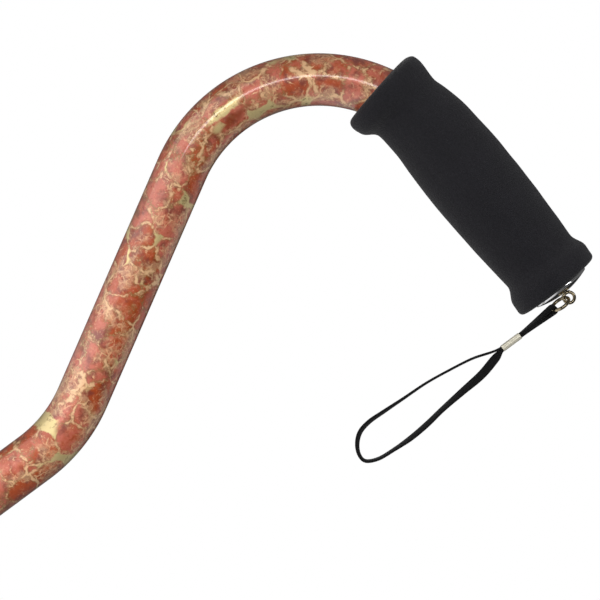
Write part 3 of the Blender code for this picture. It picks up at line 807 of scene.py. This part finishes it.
def upper_bend():
    """Centre of the upper bend and the angle at which it leaves."""
    start_angle = pi / 2 + LOWER_BEND
    lower_centre = Vector((-BEND_RADIUS, 0, BEND_START))
    start = lower_centre + direction(LOWER_BEND) * BEND_RADIUS + direction(start_angle) * MIDDLE_LENGTH
    return start - direction(start_angle + pi / 2) * BEND_RADIUS, start_angle - UPPER_BEND


def bend_front(turned):
    """Point of the upper bend's front side and the tube's heading there, some angle after the bend starts."""
    centre, angle = upper_bend()
    heading = angle + UPPER_BEND - turned
    return centre + direction(heading + pi / 2) * BEND_RADIUS - Vector((0, UPPER_RADIUS, 0)), heading


def handle_point(along):
    """Point of the middle line and its angle, measured from where the upper bend ends."""
    centre, angle = upper_bend()
    end = centre + direction(angle + pi / 2) * BEND_RADIUS
    if along >= 0:
        return end + direction(angle) * along, angle
    angle -= along / BEND_RADIUS
    return centre + direction(angle + pi / 2) * BEND_RADIUS, angle


def handle_end():
    """Place of the handle's rear end, with Z along the handle and X up."""
    place, angle = handle_point(HANDLE_LENGTH)
    axes = Matrix((direction(angle + pi / 2), Vector((0, -1, 0)), direction(angle))).transposed()
    return Matrix.Translation(place) @ axes.to_4x4()


def add_hole(cutter, wall, height):
    """Add the pin that cuts a locking hole through a tube's near wall, which lies that far from the axis."""
    place = Matrix.Translation((0, -wall, height)) @ FACING
    bmesh.ops.create_cone(
        cutter, cap_ends=True, segments=48, radius1=HOLE_RADIUS, radius2=HOLE_RADIUS, depth=wall, matrix=place
    )


def make_upper_tube(tube):
    """Grow a circle up the shaft, round both bends and along the handle, then give it its wall and holes."""
    form = bmesh.new()
    foot = Matrix.Translation((0, 0, UPPER_FOOT))
    bmesh.ops.create_circle(form, radius=UPPER_RADIUS, segments=TUBE_SIDES, matrix=foot)
    ring = form.verts[:]
    holes = [FIRST_HOLE + tube.pitch * i for i in range(tube.holes)]
    stops = [hole - tube.pitch / 2 for hole in holes] + [holes[-1] + tube.pitch / 2]
    reached = 0.0
    for stop in [*stops, (holes[-1] + SHAFT_LENGTH) / 2, SHAFT_LENGTH]:
        ring = grown(form, ring, (0, 0, stop - reached))
        reached = stop
    ring = bent(form, ring, (-BEND_RADIUS, 0, BEND_START), -LOWER_BEND, LOWER_BEND_STEPS)
    for _ in range(MIDDLE_STEPS):
        ring = grown(form, ring, direction(pi / 2 + LOWER_BEND) * MIDDLE_LENGTH / MIDDLE_STEPS)
    centre, angle = upper_bend()
    ring = bent(form, ring, centre, UPPER_BEND, UPPER_BEND_STEPS)
    grown(form, ring, direction(angle) * HANDLE_LENGTH)
    bmesh.ops.recalc_face_normals(form, faces=form.faces)
    piece = add_piece("upper_tube_finish", form, marbled_enamel(tube), "handle", ["upper_tube"])
    add_modifier(piece, "SOLIDIFY", thickness=tube.wall, offset=-1, use_even_offset=True)
    settle(piece)
    cutter = bmesh.new()
    for hole in holes:
        add_hole(cutter, UPPER_RADIUS, UPPER_FOOT + hole)
    cut(piece, cutter, rounding=0.00018)


# Foam grip


def grip_radius(along):
    """Outer radius of the grip at a distance from its front face."""
    if along <= FRONT_NECK:
        share = ease((FRONT_NECK - along) / (FRONT_NECK - FRONT_CREST))
        foam = between(FRONT_NECK_FOAM, FRONT_CREST_FOAM, share)
    elif along <= BARREL:
        share = sin((along - FRONT_NECK) / (BARREL - FRONT_NECK) * pi / 2)
        foam = between(FRONT_NECK_FOAM, BARREL_FOAM, share)
    elif along <= REAR_NECK:
        share = sin((REAR_NECK - along) / (REAR_NECK - BARREL) * pi / 2)
        foam = between(REAR_NECK_FOAM, BARREL_FOAM, share)
    else:
        share = ease((along - REAR_NECK) / (REAR_CREST - REAR_NECK))
        foam = between(REAR_NECK_FOAM, REAR_CREST_FOAM, share)
    edge, inward = (FRONT_EDGE, along) if along < BARREL else (REAR_EDGE, GRIP_LENGTH - along)
    return UPPER_RADIUS + foam - edge + sqrt(edge**2 - max(0, edge - inward) ** 2)


def grip_outline():
    """Closed outline of (radius, along): the outer side from front to rear, then the bore back."""
    rounding = [1 - cos(i * pi / 20) for i in range(10)]
    places = [FRONT_EDGE * share for share in rounding]
    places += spread(FRONT_EDGE, GRIP_LENGTH - REAR_EDGE, 96) + [GRIP_LENGTH - REAR_EDGE]
    places += [GRIP_LENGTH - REAR_EDGE * share for share in reversed(rounding)]
    bore = UPPER_RADIUS + GRIP_BORE_GAP
    inner = [GRIP_LENGTH] + spread(-GRIP_FRONT, 0, 16) + [0]
    return [(grip_radius(place), place) for place in places] + [(bore, place) for place in inner]


def grip_lift(along):
    """How far the foam's middle lies above the tube's, at its two flared ends."""
    front = ease(1 - along / FRONT_NECK)
    rear = ease((along - REAR_NECK) / (GRIP_LENGTH - REAR_NECK))
    return FRONT_CREST_LIFT * front - REAR_CREST_DROP * rear


def crest_shift(along):
    """How far the front flange's upper side leans forwards, and its lower side back."""
    return FRONT_CREST_TILT * min(along / FRONT_CREST, ease((FRONT_NECK - along) / (FRONT_NECK - FRONT_CREST)))


def onto_handle(place):
    """Move a point of a straight grip onto the bent handle: X runs along the tube, Z away from it."""
    reach = place.yz.length
    in_bore = reach < GRIP_SKIN
    along = place.x if in_bore else place.x - crest_shift(place.x) * place.z / reach
    centre, angle = handle_point(along + GRIP_FRONT)
    lean = between(HANDLE_RISE, GRIP_FRONT_LEAN, max(0, 1 + along / GRIP_FRONT))
    across = BEND_RADIUS * cos(angle - lean)
    in_tube = sqrt(across**2 + 2 * BEND_RADIUS * place.z + place.z**2) - across
    rise = in_tube if in_bore else place.z + grip_lift(place.x)
    return centre + direction(lean + pi / 2) * rise + Vector((0, place.y, 0))


def make_grip(grip):
    """Turn a straight grip about the handle's line, swell its skin a little, and bend it onto the tube."""
    along_x = Matrix.Rotation(pi, 4, "X") @ Matrix.Rotation(pi / 2, 4, "Y")
    form = moved(lathe(grip_outline(), GRIP_SIDES, closed=True), along_x)
    for vert in form.verts:
        if vert.co.yz.length > GRIP_SKIN:
            away = Vector((0, *vert.co.yz)).normalized()
            vert.co += away * grip.swell * (noise(vert.co * LUMPS_PER_METRE) - 0.6)
        vert.co = onto_handle(vert.co)
    look = black_foam(grip)
    piece = add_piece("foam_grip_finish", form, look, "handle", ["foam_grip"], sharp=radians(60))


# Cap, eye and ring


def cap_face(radius):
    """Height of the cap's domed face above the tube's end."""
    return GAP + CAP_RIM + CAP_DOME * (1 - (radius / CAP_RADIUS) ** 2)


def make_cap(metals):
    """Domed cap with a hollow shank that fits the tube's end."""
    look = bright_metal("cap_chrome", metals.chrome, 0.07)
    shank, bore = CAP_SHANK_RADIUS, CAP_SHANK_RADIUS - CAP_WALL
    hole = EYE_SHANK_RADIUS + GAP
    web = cap_face(EYE_SHANK_RADIUS) - CAP_WEB
    outline = [(radius, cap_face(radius)) for radius in spread(hole, CAP_RADIUS, 20) + [CAP_RADIUS]]
    outline += [(CAP_RADIUS, GAP), (shank, GAP), (shank, -CAP_SHANK), (bore, -CAP_SHANK), (bore, web), (hole, web)]
    form = soften(lathe(outline, 96, closed=True), 0.00022)
    add_piece("end_cap_finish", moved(form, handle_end()), look, "handle", ["end_cap"])


def make_eye_and_ring(metals):
    """Eye with a threaded shank, and the split ring that hangs in it."""
    look = bright_metal("ring_chrome", metals.ring, 0.09)
    foot = cap_face(0) + GAP
    top, tail, plain = foot + EYE_COLLAR, foot - EYE_SHANK, foot - EYE_PLAIN_SHANK
    outline = [(0, top + 0.0002), (0.0009, top + 0.0002), (0.0012, top), (EYE_COLLAR_RADIUS, top)]
    outline += [(EYE_COLLAR_RADIUS, foot), (EYE_SHANK_RADIUS, foot), (EYE_SHANK_RADIUS, plain)]
    for i in range(int((plain - tail - 0.0006) / EYE_THREAD) + 1):
        crest = plain - EYE_THREAD * i
        root = (EYE_SHANK_RADIUS - EYE_THREAD / 2, crest - EYE_THREAD / 2)
        outline += [root, (EYE_SHANK_RADIUS, crest - EYE_THREAD)]
    outline += [(EYE_SHANK_RADIUS - 0.0003, tail), (0, tail)]
    shank = soften(lathe(outline, 48), 0.00008, segments=2, angle=60)
    upright = Matrix.Translation((0, 0, top + EYE_RADIUS - EYE_SINK)) @ FACING
    form = moved(joined(shank, wire_ring(EYE_RADIUS, EYE_WIRE, upright, 56)), handle_end())
    add_piece("strap_eye_finish", form, look, "handle", ["strap_eye"])
    turn = Matrix.Rotation(RING_TURN, 4, "Z") @ Matrix.Rotation(pi / 2, 4, "Y")
    place = Matrix.Translation((RING_TOP + RING_FOOT) / 2) @ turn @ Matrix.Rotation(RING_OPENING_PLACE, 4, "Z")
    form = wire_ring(RING_RADIUS, metals.wire, place, 72, RING_OPENING)
    soften(form, 0.00012, segments=2, angle=50)
    add_piece("strap_ring_finish", form, look, "ring", ["strap_ring"])


# Wrist strap


def smooth_route(route, spacing):
    """Points about one spacing apart on a smooth curve through a route of points."""
    points = [route[0]]
    ends = [route[0], *route, route[-1]]
    for before, start, end, after in zip(ends, ends[1:], ends[2:], ends[3:]):
        count = max(1, round((end - start).to_2d().length / spacing))
        leave = start + (end - before) / 6
        arrive = end - (after - start) / 6
        points += interpolate_bezier(start, leave, arrive, end, count + 1)[1:]
    return points


def strap_route(strap):
    """Points of (sideways, up, twist) from inside the ferrule round the wrist loop and over the ring."""
    strand = strap.thickness / 2 + STRAP_SLACK
    fold = RING_WIRE + FOLD_SLACK + strap.thickness / 2
    inside = -NECK_DROP - FERRULE_LENGTH / 2
    leaves = -NECK_DROP - FERRULE_LENGTH
    route = [(-strand, inside - 0.0004, 0), (-strand, leaves - 0.0005, 0)]
    route += [(across, -drop, twist) for across, drop, twist in LOOP_ROUTE]
    route += [(strand, leaves - 0.0005, 6), (strand, inside, 0), (strand, -NECK_DROP, 0)]
    route += [(strand * 1.05, -NECK_DROP * 0.7, 6), (fold * 0.60, -NECK_DROP * 0.3, 8)]
    route += [(fold * cos(pi * i / 6), fold * sin(pi * i / 6), 0) for i in range(7)]
    route += [(-fold * 0.60, -NECK_DROP * 0.3, -8), (-strand * 1.05, -NECK_DROP * 0.7, -6)]
    route += [(-strand, -NECK_DROP, 0), (-strand, inside + 0.0001, 0)]
    return smooth_route([Vector((x, z, twist)) for x, z, twist in route], 0.0008)


def strap_turn(height):
    """How far the strap has turned about Z: with the ring at the fold, and not at all at the ferrule."""
    return RING_TURN * ease(1 + height / NECK_DROP)


def make_strap(strap, metals):
    """Sweep a flat section along the route, with the braid's map in metres."""
    knots = strap_route(strap)
    form = bmesh.new()
    weave = form.loops.layers.uv.new("weave")
    bmesh.ops.create_circle(form, radius=strap.thickness / 2, segments=STRAP_SIDES)
    rows = [form.verts[:]]
    half = (strap.width - strap.thickness) / 2
    for vert in rows[0]:
        if abs(vert.co.x) > 0.000001:
            vert.co.x += half if vert.co.x > 0 else -half
    flat = [vert.co.copy() for vert in rows[0]]
    for _ in knots[1:]:
        by_place = {vert.co.to_tuple(7): vert for vert in grown(form, rows[-1], (0, 0, 0))}
        rows.append([by_place[vert.co.to_tuple(7)] for vert in rows[-1]])
    along, centres, woven = 0.0, [], {}
    for i, (knot, row) in enumerate(zip(knots, rows)):
        ahead, behind = knots[min(i + 1, len(knots) - 1)], knots[max(i - 1, 0)]
        heading = Vector((ahead.x - behind.x, 0, ahead.y - behind.y)).normalized()
        turn = Matrix.Rotation(strap_turn(knot.y), 3, "Z")
        side = Vector((-heading.z, 0, heading.x))
        twist = radians(knot.z)
        width = turn @ (Vector((0, 1, 0)) * cos(twist) + side * sin(twist))
        depth = (turn @ heading).cross(width)
        lean = FERRULE_LEAN * min(1, max(0, -knot.y / NECK_DROP))
        centre = RING_FOOT + turn @ Vector((knot.x, 0, knot.y)) + Vector((lean, 0, 0))
        along += (centre - centres[-1]).length if centres else 0.0
        centres.append(centre)
        for vert, place in zip(row, flat):
            vert.co = centre + width * place.x + depth * place.y
            woven[vert] = (place.x, along)
    for face in form.faces:
        for loop in face.loops:
            loop[weave].uv = woven[loop.vert]
    bmesh.ops.holes_fill(form, edges=[edge for edge in form.edges if edge.is_boundary], sides=STRAP_SIDES)
    bmesh.ops.recalc_face_normals(form, faces=form.faces)
    look, nodes = black_braid(strap), ["strap_neck", "wrist_loop"]
    braid = add_piece("wrist_strap", form, look, "strap", nodes, sharp=radians(50))
    ferrule = make_ferrule(metals)


def make_ferrule(metals):
    """Sleeve of thin brass, folded round both straps and crimped."""
    form = bmesh.new()
    bmesh.ops.create_cube(form, size=1)
    bmesh.ops.scale(form, vec=(FERRULE_THICKNESS, FERRULE_DEPTH, FERRULE_LENGTH), verts=form.verts)
    upright = [edge for edge in form.edges if abs(edge.verts[0].co.z - edge.verts[1].co.z) > 0.001]
    round_edges(form, upright, FERRULE_ROUNDING, 6)
    for i in range(-4, 5):
        geom = form.verts[:] + form.edges[:] + form.faces[:]
        bmesh.ops.bisect_plane(form, geom=geom, plane_co=(0, 0, i * FERRULE_RINGS), plane_no=(0, 0, 1))
    for side in (-1, 1):
        ends = [face for face in form.faces if face.normal.z * side > 0.9]
        bmesh.ops.inset_region(form, faces=ends, thickness=0.00022, depth=0.0)
        bmesh.ops.inset_region(form, faces=ends, thickness=0.00003, depth=-0.0008)
    for vert in form.verts:
        if abs(vert.co.z) < 0.0042:
            vert.co.y *= 1 - 0.04 * cos(2.2 * pi * vert.co.z / FERRULE_LENGTH) ** 2
    soften(form, 0.00010, segments=2, angle=50)
    bmesh.ops.recalc_face_normals(form, faces=form.faces)
    moved(form, Matrix.Translation(RING_FOOT + Vector((FERRULE_LEAN, 0, -NECK_DROP - FERRULE_LENGTH / 2))))
    return add_piece("strap_ferrule_finish", form, folded_brass(metals), "strap", ["strap_ferrule"])


# Lower tube, lock and tip


def make_lower_tube(metals):
    """Drawn tube with the hole that the button comes through."""
    bore = LOWER_RADIUS - LOWER_WALL
    outline = [(LOWER_RADIUS, LOWER_TOP), (LOWER_RADIUS, LOWER_FOOT), (bore, LOWER_FOOT), (bore, LOWER_TOP)]
    form = soften(lathe(outline, 96, closed=True), 0.0003)
    look = drawn_aluminium(metals)
    piece = add_piece("lower_tube_finish", form, look, "lower_leg", ["lower_tube"])
    cutter = bmesh.new()
    add_hole(cutter, LOWER_RADIUS, BUTTON_HEIGHT)
    cut(piece, cutter, rounding=0.00015)


def make_button(metals):
    """Button with a domed crown and a flange that stays inside the tube."""
    look = bright_metal("button_steel", metals.steel, 0.16)
    turns = [i * pi / 20 for i in range(11)]
    outline = [(BUTTON_RADIUS * sin(turn), BUTTON_TIP - BUTTON_CROWN * (1 - cos(turn))) for turn in turns]
    rim = BUTTON_FLANGE + FLANGE_THICKNESS
    outline += [(BUTTON_RADIUS, rim), (FLANGE_RADIUS, rim), (FLANGE_RADIUS, BUTTON_FLANGE), (0, BUTTON_FLANGE)]
    place = Matrix.Translation((0, 0, BUTTON_HEIGHT)) @ FACING
    form = moved(soften(lathe(outline, 64), 0.00012, angle=60), place)
    add_piece("snap_button_finish", form, look, "height_button", ["snap_button"])


def make_spring(metals):
    """Leaf spring: one leg on the tube's far wall, a turn below, and one leg behind the button."""
    look = bright_metal("spring_steel", metals.steel, 0.28)
    low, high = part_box("button_spring")
    wall_leg, push_leg = high.y - SPRING_STRIP / 2, low.y + SPRING_STRIP / 2
    foot = SPRING_TURN - SPRING_LENGTH
    turns = [i * pi / 16 for i in range(17)]
    line = [(wall_leg, FLANGE_RADIUS)]
    line += [(wall_leg - SPRING_TURN * (1 - cos(turn)), foot - SPRING_TURN * sin(turn)) for turn in turns]
    line += [(push_leg, -FLANGE_RADIUS), (push_leg, FLANGE_RADIUS)]
    form = bmesh.new()
    knots = [form.verts.new((-SPRING_WIDTH / 2, back, BUTTON_HEIGHT + height)) for back, height in line]
    edges = [form.edges.new(pair) for pair in zip(knots, knots[1:])]
    swept = bmesh.ops.extrude_edge_only(form, edges=edges)["geom"]
    bmesh.ops.translate(form, vec=(SPRING_WIDTH, 0, 0), verts=verts_of(swept))
    piece = add_piece("button_spring_finish", form, look, "lower_leg", ["button_spring"])
    add_modifier(piece, "SOLIDIFY", thickness=SPRING_STRIP, offset=0)
    settle(piece)
    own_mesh(piece)


def make_bush(leg):
    """Socket on the upper tube's end, a neck below it, and tapered fingers."""
    look = moulded("bush_nylon", leg.nylon, 0.0006, 0.42)
    socket = UPPER_RADIUS + GAP
    rim = BUSH_RADIUS + BUSH_RIM
    root = BUSH_NECK - BUSH_THREAD_DEPTH
    outline = [(socket, BUSH_SOCKET), (BUSH_RADIUS, BUSH_SOCKET), (BUSH_RADIUS, 0.0027)]
    outline += [(rim, 0.0015), (rim, SHOULDER), (BUSH_NECK, SHOULDER)]
    thread = SHOULDER - 0.0009
    while thread > TAPER + 0.0020:
        outline += [(BUSH_NECK, thread), (root, thread - 0.0007), (root, thread - 0.0011)]
        thread -= BUSH_THREAD
    outline += [(BUSH_NECK, thread), (BUSH_NECK, TAPER), (SLEEVE_BORE + FINGER_WALL, FINGER_TIPS)]
    outline += [(SLEEVE_BORE, FINGER_TIPS), (SLEEVE_BORE, -GAP), (socket, -GAP)]
    form = raised(soften(lathe(outline, 96, closed=True), 0.00025, segments=2), UPPER_FOOT)
    piece = add_piece("collet_bush_finish", form, look, "handle", ["collet_bush"])
    cutter = bmesh.new()
    slot = Matrix.Diagonal((0.0056, BUSH_SLOT, 2 * (SHOULDER - 0.00125 - FINGER_TIPS), 1))
    for i in range(BUSH_SLOTS):
        turn = Matrix.Rotation(2 * pi * (i + 0.5) / BUSH_SLOTS, 4, "Z")
        place = turn @ Matrix.Translation((BUSH_NECK - 0.0014, 0, UPPER_FOOT + FINGER_TIPS))
        bmesh.ops.create_cube(cutter, size=1, matrix=place @ slot)
    cut(piece, cutter)


def make_collar(leg):
    """Fluted ring that presses the fingers in."""
    look = moulded("collar_nylon", leg.nylon, 0.0007, 0.46)
    top, foot = SHOULDER - GAP, FINGER_TIPS - COLLAR_LIP
    lip, flutes_end, flutes_start = FINGER_TIPS - GAP, top - 0.0008, foot + 0.0022
    outline = [(COLLAR_BORE, top), (COLLAR_RADIUS, top)]
    outline += [(COLLAR_RADIUS, height) for height in spread(top - 0.0012, flutes_start, 8)]
    outline += [(COLLAR_RADIUS, foot + COLLAR_CHAMFER), (COLLAR_RADIUS - COLLAR_CHAMFER, foot), (SLEEVE_BORE, foot)]
    outline += [(SLEEVE_BORE, lip), (SLEEVE_BORE + FINGER_WALL + GAP, lip), (COLLAR_BORE, TAPER)]
    form = lathe(outline, leg.flutes * 14, closed=True)
    for vert in form.verts:
        reach = vert.co.xy.length
        if reach > COLLAR_RADIUS - 0.0001 and flutes_start < vert.co.z < flutes_end:
            flute = max(0, cos(vert.co.xy.angle_signed(Vector((1, 0))) * leg.flutes)) ** 1.5
            depth = FLUTE_DEPTH * flute * ease((flutes_end - vert.co.z) / 0.0012)
            vert.co.xy *= 1 - depth / reach
    soften(form, 0.00030, angle=38)
    add_piece("locking_collar_finish", raised(form, UPPER_FOOT), look, "collar", ["locking_collar"])


def make_tip(leg):
    """Rubber tip that flares to its foot, with rings cut in the tread round a flat middle pad."""
    look = moulded("tip_rubber", leg.rubber, 0.0009, 0.62)
    side, cuff = SLEEVE_BORE + TIP_WALL, SLEEVE_BORE + TIP_CUFF
    foot = side + TIP_FLARE
    step = TIP_HEIGHT - TIP_CUFF_HEIGHT
    outline = [(SLEEVE_BORE, TIP_HEIGHT), (cuff, TIP_HEIGHT), (cuff, step), (side, step - 0.0010)]
    for i in range(13):
        angle = i * pi / 24
        outline.append((side + TIP_FLARE * (1 - cos(angle)), TIP_BAND + TIP_FLARE_HEIGHT * (1 - sin(angle))))
    outline += [(foot, 0.0045), (foot - 0.0005, 0.0040), (foot, 0.0035), (foot, 0)]
    outer = foot - TREAD_BORDER
    for _ in range(2):
        inner = outer - TREAD_GROOVE
        outline += [(outer, 0), (outer, TREAD_DEPTH), (inner, TREAD_DEPTH), (inner, 0)]
        outer = inner - TREAD_RING
    outline += [(0, 0), (0, TIP_FLOOR), (SLEEVE_BORE, TIP_FLOOR)]
    form = soften(lathe(outline, 96, closed=True), 0.00055, angle=35)
    add_piece("rubber_tip_finish", form, look, "lower_leg", ["rubber_tip"])


def finish_hidden_parts(metals, leg):
    """Give the pieces that stay as packed their finishes."""
    steel = bright_metal("plain_steel", metals.steel, 0.30)
    nylon = moulded("plug_nylon", leg.nylon, 0.0006, 0.45)
    for name, look in (("eye_nut", steel), ("tip_washer", steel), ("top_plug", nylon)):
        for slot in frame["nodes"][name].material_slots:
            slot.material = look


# Stage


def add_camera(stage, right, up, toward):
    data = bpy.data.cameras.new("camera")
    data.lens = data.sensor_width * stage.distance / stage.width
    data.clip_start, data.clip_end = 0.05, 50
    camera = bpy.data.objects.new("camera", data)
    bpy.context.scene.collection.objects.link(camera)
    axes = Matrix((right, up, toward)).transposed().to_4x4()
    camera.matrix_world = Matrix.Translation(VIEW_MIDDLE + toward * stage.distance) @ axes
    bpy.context.scene.camera = camera


def add_light(name, place, aim, size, power, along, mirrored):
    """Soft rectangular light, its first side along a direction. If it isn't mirrored, it leaves no highlight."""
    data = bpy.data.lights.new(name, "AREA")
    data.shape = "RECTANGLE"
    data.size, data.size_y = size
    data.energy = power
    light = bpy.data.objects.new(name, data)
    bpy.context.scene.collection.objects.link(light)
    back = (place - aim).normalized()
    across = (along - back * along.dot(back)).normalized()
    axes = Matrix((across, back.cross(across), back)).transposed().to_4x4()
    light.matrix_world = Matrix.Translation(place) @ axes
    light.visible_camera = False
    light.visible_glossy = mirrored


def make_world(stage):
    """White where the camera sees it, and a dim room for light and reflections, with a dark and a pale part."""
    world = bpy.data.worlds.new("studio")
    bpy.context.scene.world = world
    world.use_nodes = True
    nodes = Nodes(world.node_tree)
    seen = nodes.node("ShaderNodeLightPath", output="Is Camera Ray")
    way = nodes.node("ShaderNodeTexCoord", output="Generated")
    dark = nodes.fade(nodes.part(way, 0), 0.05, 0.40) * nodes.fade(nodes.part(way, 2), -0.02, 0.05)
    wall = nodes.vectors("DOT_PRODUCT", way, Vector((0.78, 0.42, 0.46)).normalized(), output="Value")
    shade = 1 - 0.85 * dark + 2.5 * nodes.fade(wall, 0.82, 0.95)
    background = world.node_tree.nodes["Background"]
    nodes.feed(background.inputs["Color"], (1, 1, 1))
    nodes.feed(background.inputs["Strength"], seen + (1 - seen) * shade * stage.room)


def make_floor(stage):
    """Pale round floor that fades out towards its rim and stays under the rubber tip."""
    form = bmesh.new()
    bmesh.ops.create_circle(form, cap_ends=True, radius=FLOOR_RADIUS, segments=96)
    mesh = bpy.data.meshes.new("floor")
    form.to_mesh(mesh)
    form.free()
    finish = Finish("floor_paper", roughness=0.75, specular_ior_level=0.2, emission_strength=stage.glow)
    place = finish.place()
    paper = finish.mix(finish.cloud(place, 0.4, detail=3), stage.floor, toned(stage.floor, 1.03))
    reach = finish.vectors("LENGTH", place, output="Value")
    finish.set(base_color=paper, emission_color=paper, alpha=finish.fade(reach, FLOOR_RADIUS - 0.1, 0.8))
    mesh.materials.append(finish.material)
    floor = bpy.data.objects.new("floor", mesh)
    bpy.context.scene.collection.objects.link(floor)
    # The glowing floor would otherwise light the cane from below
    floor.visible_diffuse = False
    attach(floor, "lower_leg")


def make_stage(stage):
    """Camera, lights round the picture's middle and one behind, floor and room."""
    right = Vector((cos(stage.roll), 0, sin(stage.roll)))
    up = Vector((-sin(stage.roll), 0, cos(stage.roll)))
    toward = Vector((0, -1, 0))
    add_camera(stage, right, up, toward)
    lights = [
        ("strip_light", (0.18, 0.26, 0.85), (1.05, 0.12), stage.strip, right, True),
        ("fill_light", (-0.30, -0.10, 0.40), (0.4, 0.4), stage.fill, right, False),
        ("left_light", (-0.52, 0.28, 0.36), (0.77, 0.72), stage.left, up, True),
        ("top_light", (0.72, 0.58, 0.28), (0.6, 0.6), stage.top, right, False),
        ("right_light", (1.0, 0.15, 0.45), (1.0, 1.0), stage.right, up, False),
    ]
    for name, (across, above, before), size, watts, along, mirrored in lights:
        place = VIEW_MIDDLE + right * across + up * above + toward * before
        add_light(name, place, VIEW_MIDDLE, size, watts, along, mirrored)
    add_light("back_light", Vector((0.3, 0.9, 2.6)), Vector((0, 0, 0.6)), (1.5, 1.5), stage.back, right, False)
    make_floor(stage)
    make_world(stage)
    bpy.context.scene.view_settings.view_transform = "Standard"


# Operators


class CANE_OT_stage(Operator):
    """Add the camera, the lights and the floor"""

    bl_idname = "cane.stage"
    bl_label = "Stage"

    def execute(self, context):
        make_stage(context.scene.cane_stage)
        return {"FINISHED"}


class CANE_OT_strap(Operator):
    """Add the braided wrist strap and its crimped ferrule"""

    bl_idname = "cane.strap"
    bl_label = "Wrist strap"

    def execute(self, context):
        make_strap(context.scene.cane_strap, context.scene.cane_metal)
        return {"FINISHED"}


class CANE_OT_upper_tube(Operator):
    """Add the bent upper tube with its locking holes and marbled enamel"""

    bl_idname = "cane.upper_tube"
    bl_label = "Upper tube"

    def execute(self, context):
        make_upper_tube(context.scene.cane_tube)
        return {"FINISHED"}


class CANE_OT_grip(Operator):
    """Add the foam grip"""

    bl_idname = "cane.grip"
    bl_label = "Foam grip"

    def execute(self, context):
        make_grip(context.scene.cane_grip)
        return {"FINISHED"}


class CANE_OT_hardware(Operator):
    """Add the end cap, the strap eye and the ring"""

    bl_idname = "cane.hardware"
    bl_label = "Cap, eye and ring"

    def execute(self, context):
        make_cap(context.scene.cane_metal)
        make_eye_and_ring(context.scene.cane_metal)
        return {"FINISHED"}


class CANE_OT_leg(Operator):
    """Add the lower tube, the snap button and its spring"""

    bl_idname = "cane.leg"
    bl_label = "Lower tube and button"

    def execute(self, context):
        metals = context.scene.cane_metal
        make_lower_tube(metals)
        make_button(metals)
        make_spring(metals)
        return {"FINISHED"}


class CANE_OT_lock(Operator):
    """Add the slotted bush and the fluted collar"""

    bl_idname = "cane.lock"
    bl_label = "Bush and collar"

    def execute(self, context):
        make_bush(context.scene.cane_leg)
        make_collar(context.scene.cane_leg)
        return {"FINISHED"}


class CANE_OT_tip(Operator):
    """Add the rubber tip and finish the parts inside"""

    bl_idname = "cane.tip"
    bl_label = "Tip and inner parts"

    def execute(self, context):
        make_tip(context.scene.cane_leg)
        finish_hidden_parts(context.scene.cane_metal, context.scene.cane_leg)
        return {"FINISHED"}


SETTINGS = {
    "cane_tube": CaneTubeSettings,
    "cane_grip": CaneGripSettings,
    "cane_metal": CaneMetalSettings,
    "cane_strap": CaneStrapSettings,
    "cane_leg": CaneLegSettings,
    "cane_stage": CaneStageSettings,
}
OPERATORS = [
    CANE_OT_stage,
    CANE_OT_strap,
    CANE_OT_upper_tube,
    CANE_OT_grip,
    CANE_OT_hardware,
    CANE_OT_leg,
    CANE_OT_lock,
    CANE_OT_tip,
]


class CANE_PT_sidebar(Panel):
    """Sizes, colours and pieces of the cane"""

    bl_idname = "CANE_PT_sidebar"
    bl_label = "Offset Cane"
    bl_space_type = "VIEW_3D"
    bl_region_type = "UI"
    bl_category = "Cane"

    def draw(self, context):
        for name, kind in SETTINGS.items():
            box = self.layout.box()
            box.label(text=kind.__doc__)
            for setting in kind.__annotations__:
                box.prop(getattr(context.scene, name), setting)
        for kind in OPERATORS:
            self.layout.operator(kind.bl_idname)


def register():
    for name, kind in SETTINGS.items():
        bpy.utils.register_class(kind)
        setattr(bpy.types.Scene, name, PointerProperty(type=kind))
    for kind in [*OPERATORS, CANE_PT_sidebar]:
        bpy.utils.register_class(kind)


def unregister():
    for kind in [CANE_PT_sidebar, *reversed(OPERATORS)]:
        bpy.utils.unregister_class(kind)
    for name, kind in reversed(SETTINGS.items()):
        delattr(bpy.types.Scene, name)
        bpy.utils.unregister_class(kind)


def main():
    """Register the add-on and make every piece."""
    register()
    bpy.ops.cane.stage()
    bpy.ops.cane.strap()
    bpy.ops.cane.upper_tube()
    bpy.ops.cane.grip()
    bpy.ops.cane.hardware()
    bpy.ops.cane.leg()
    bpy.ops.cane.lock()
    bpy.ops.cane.tip()


if __name__ == "__main__":
    main()
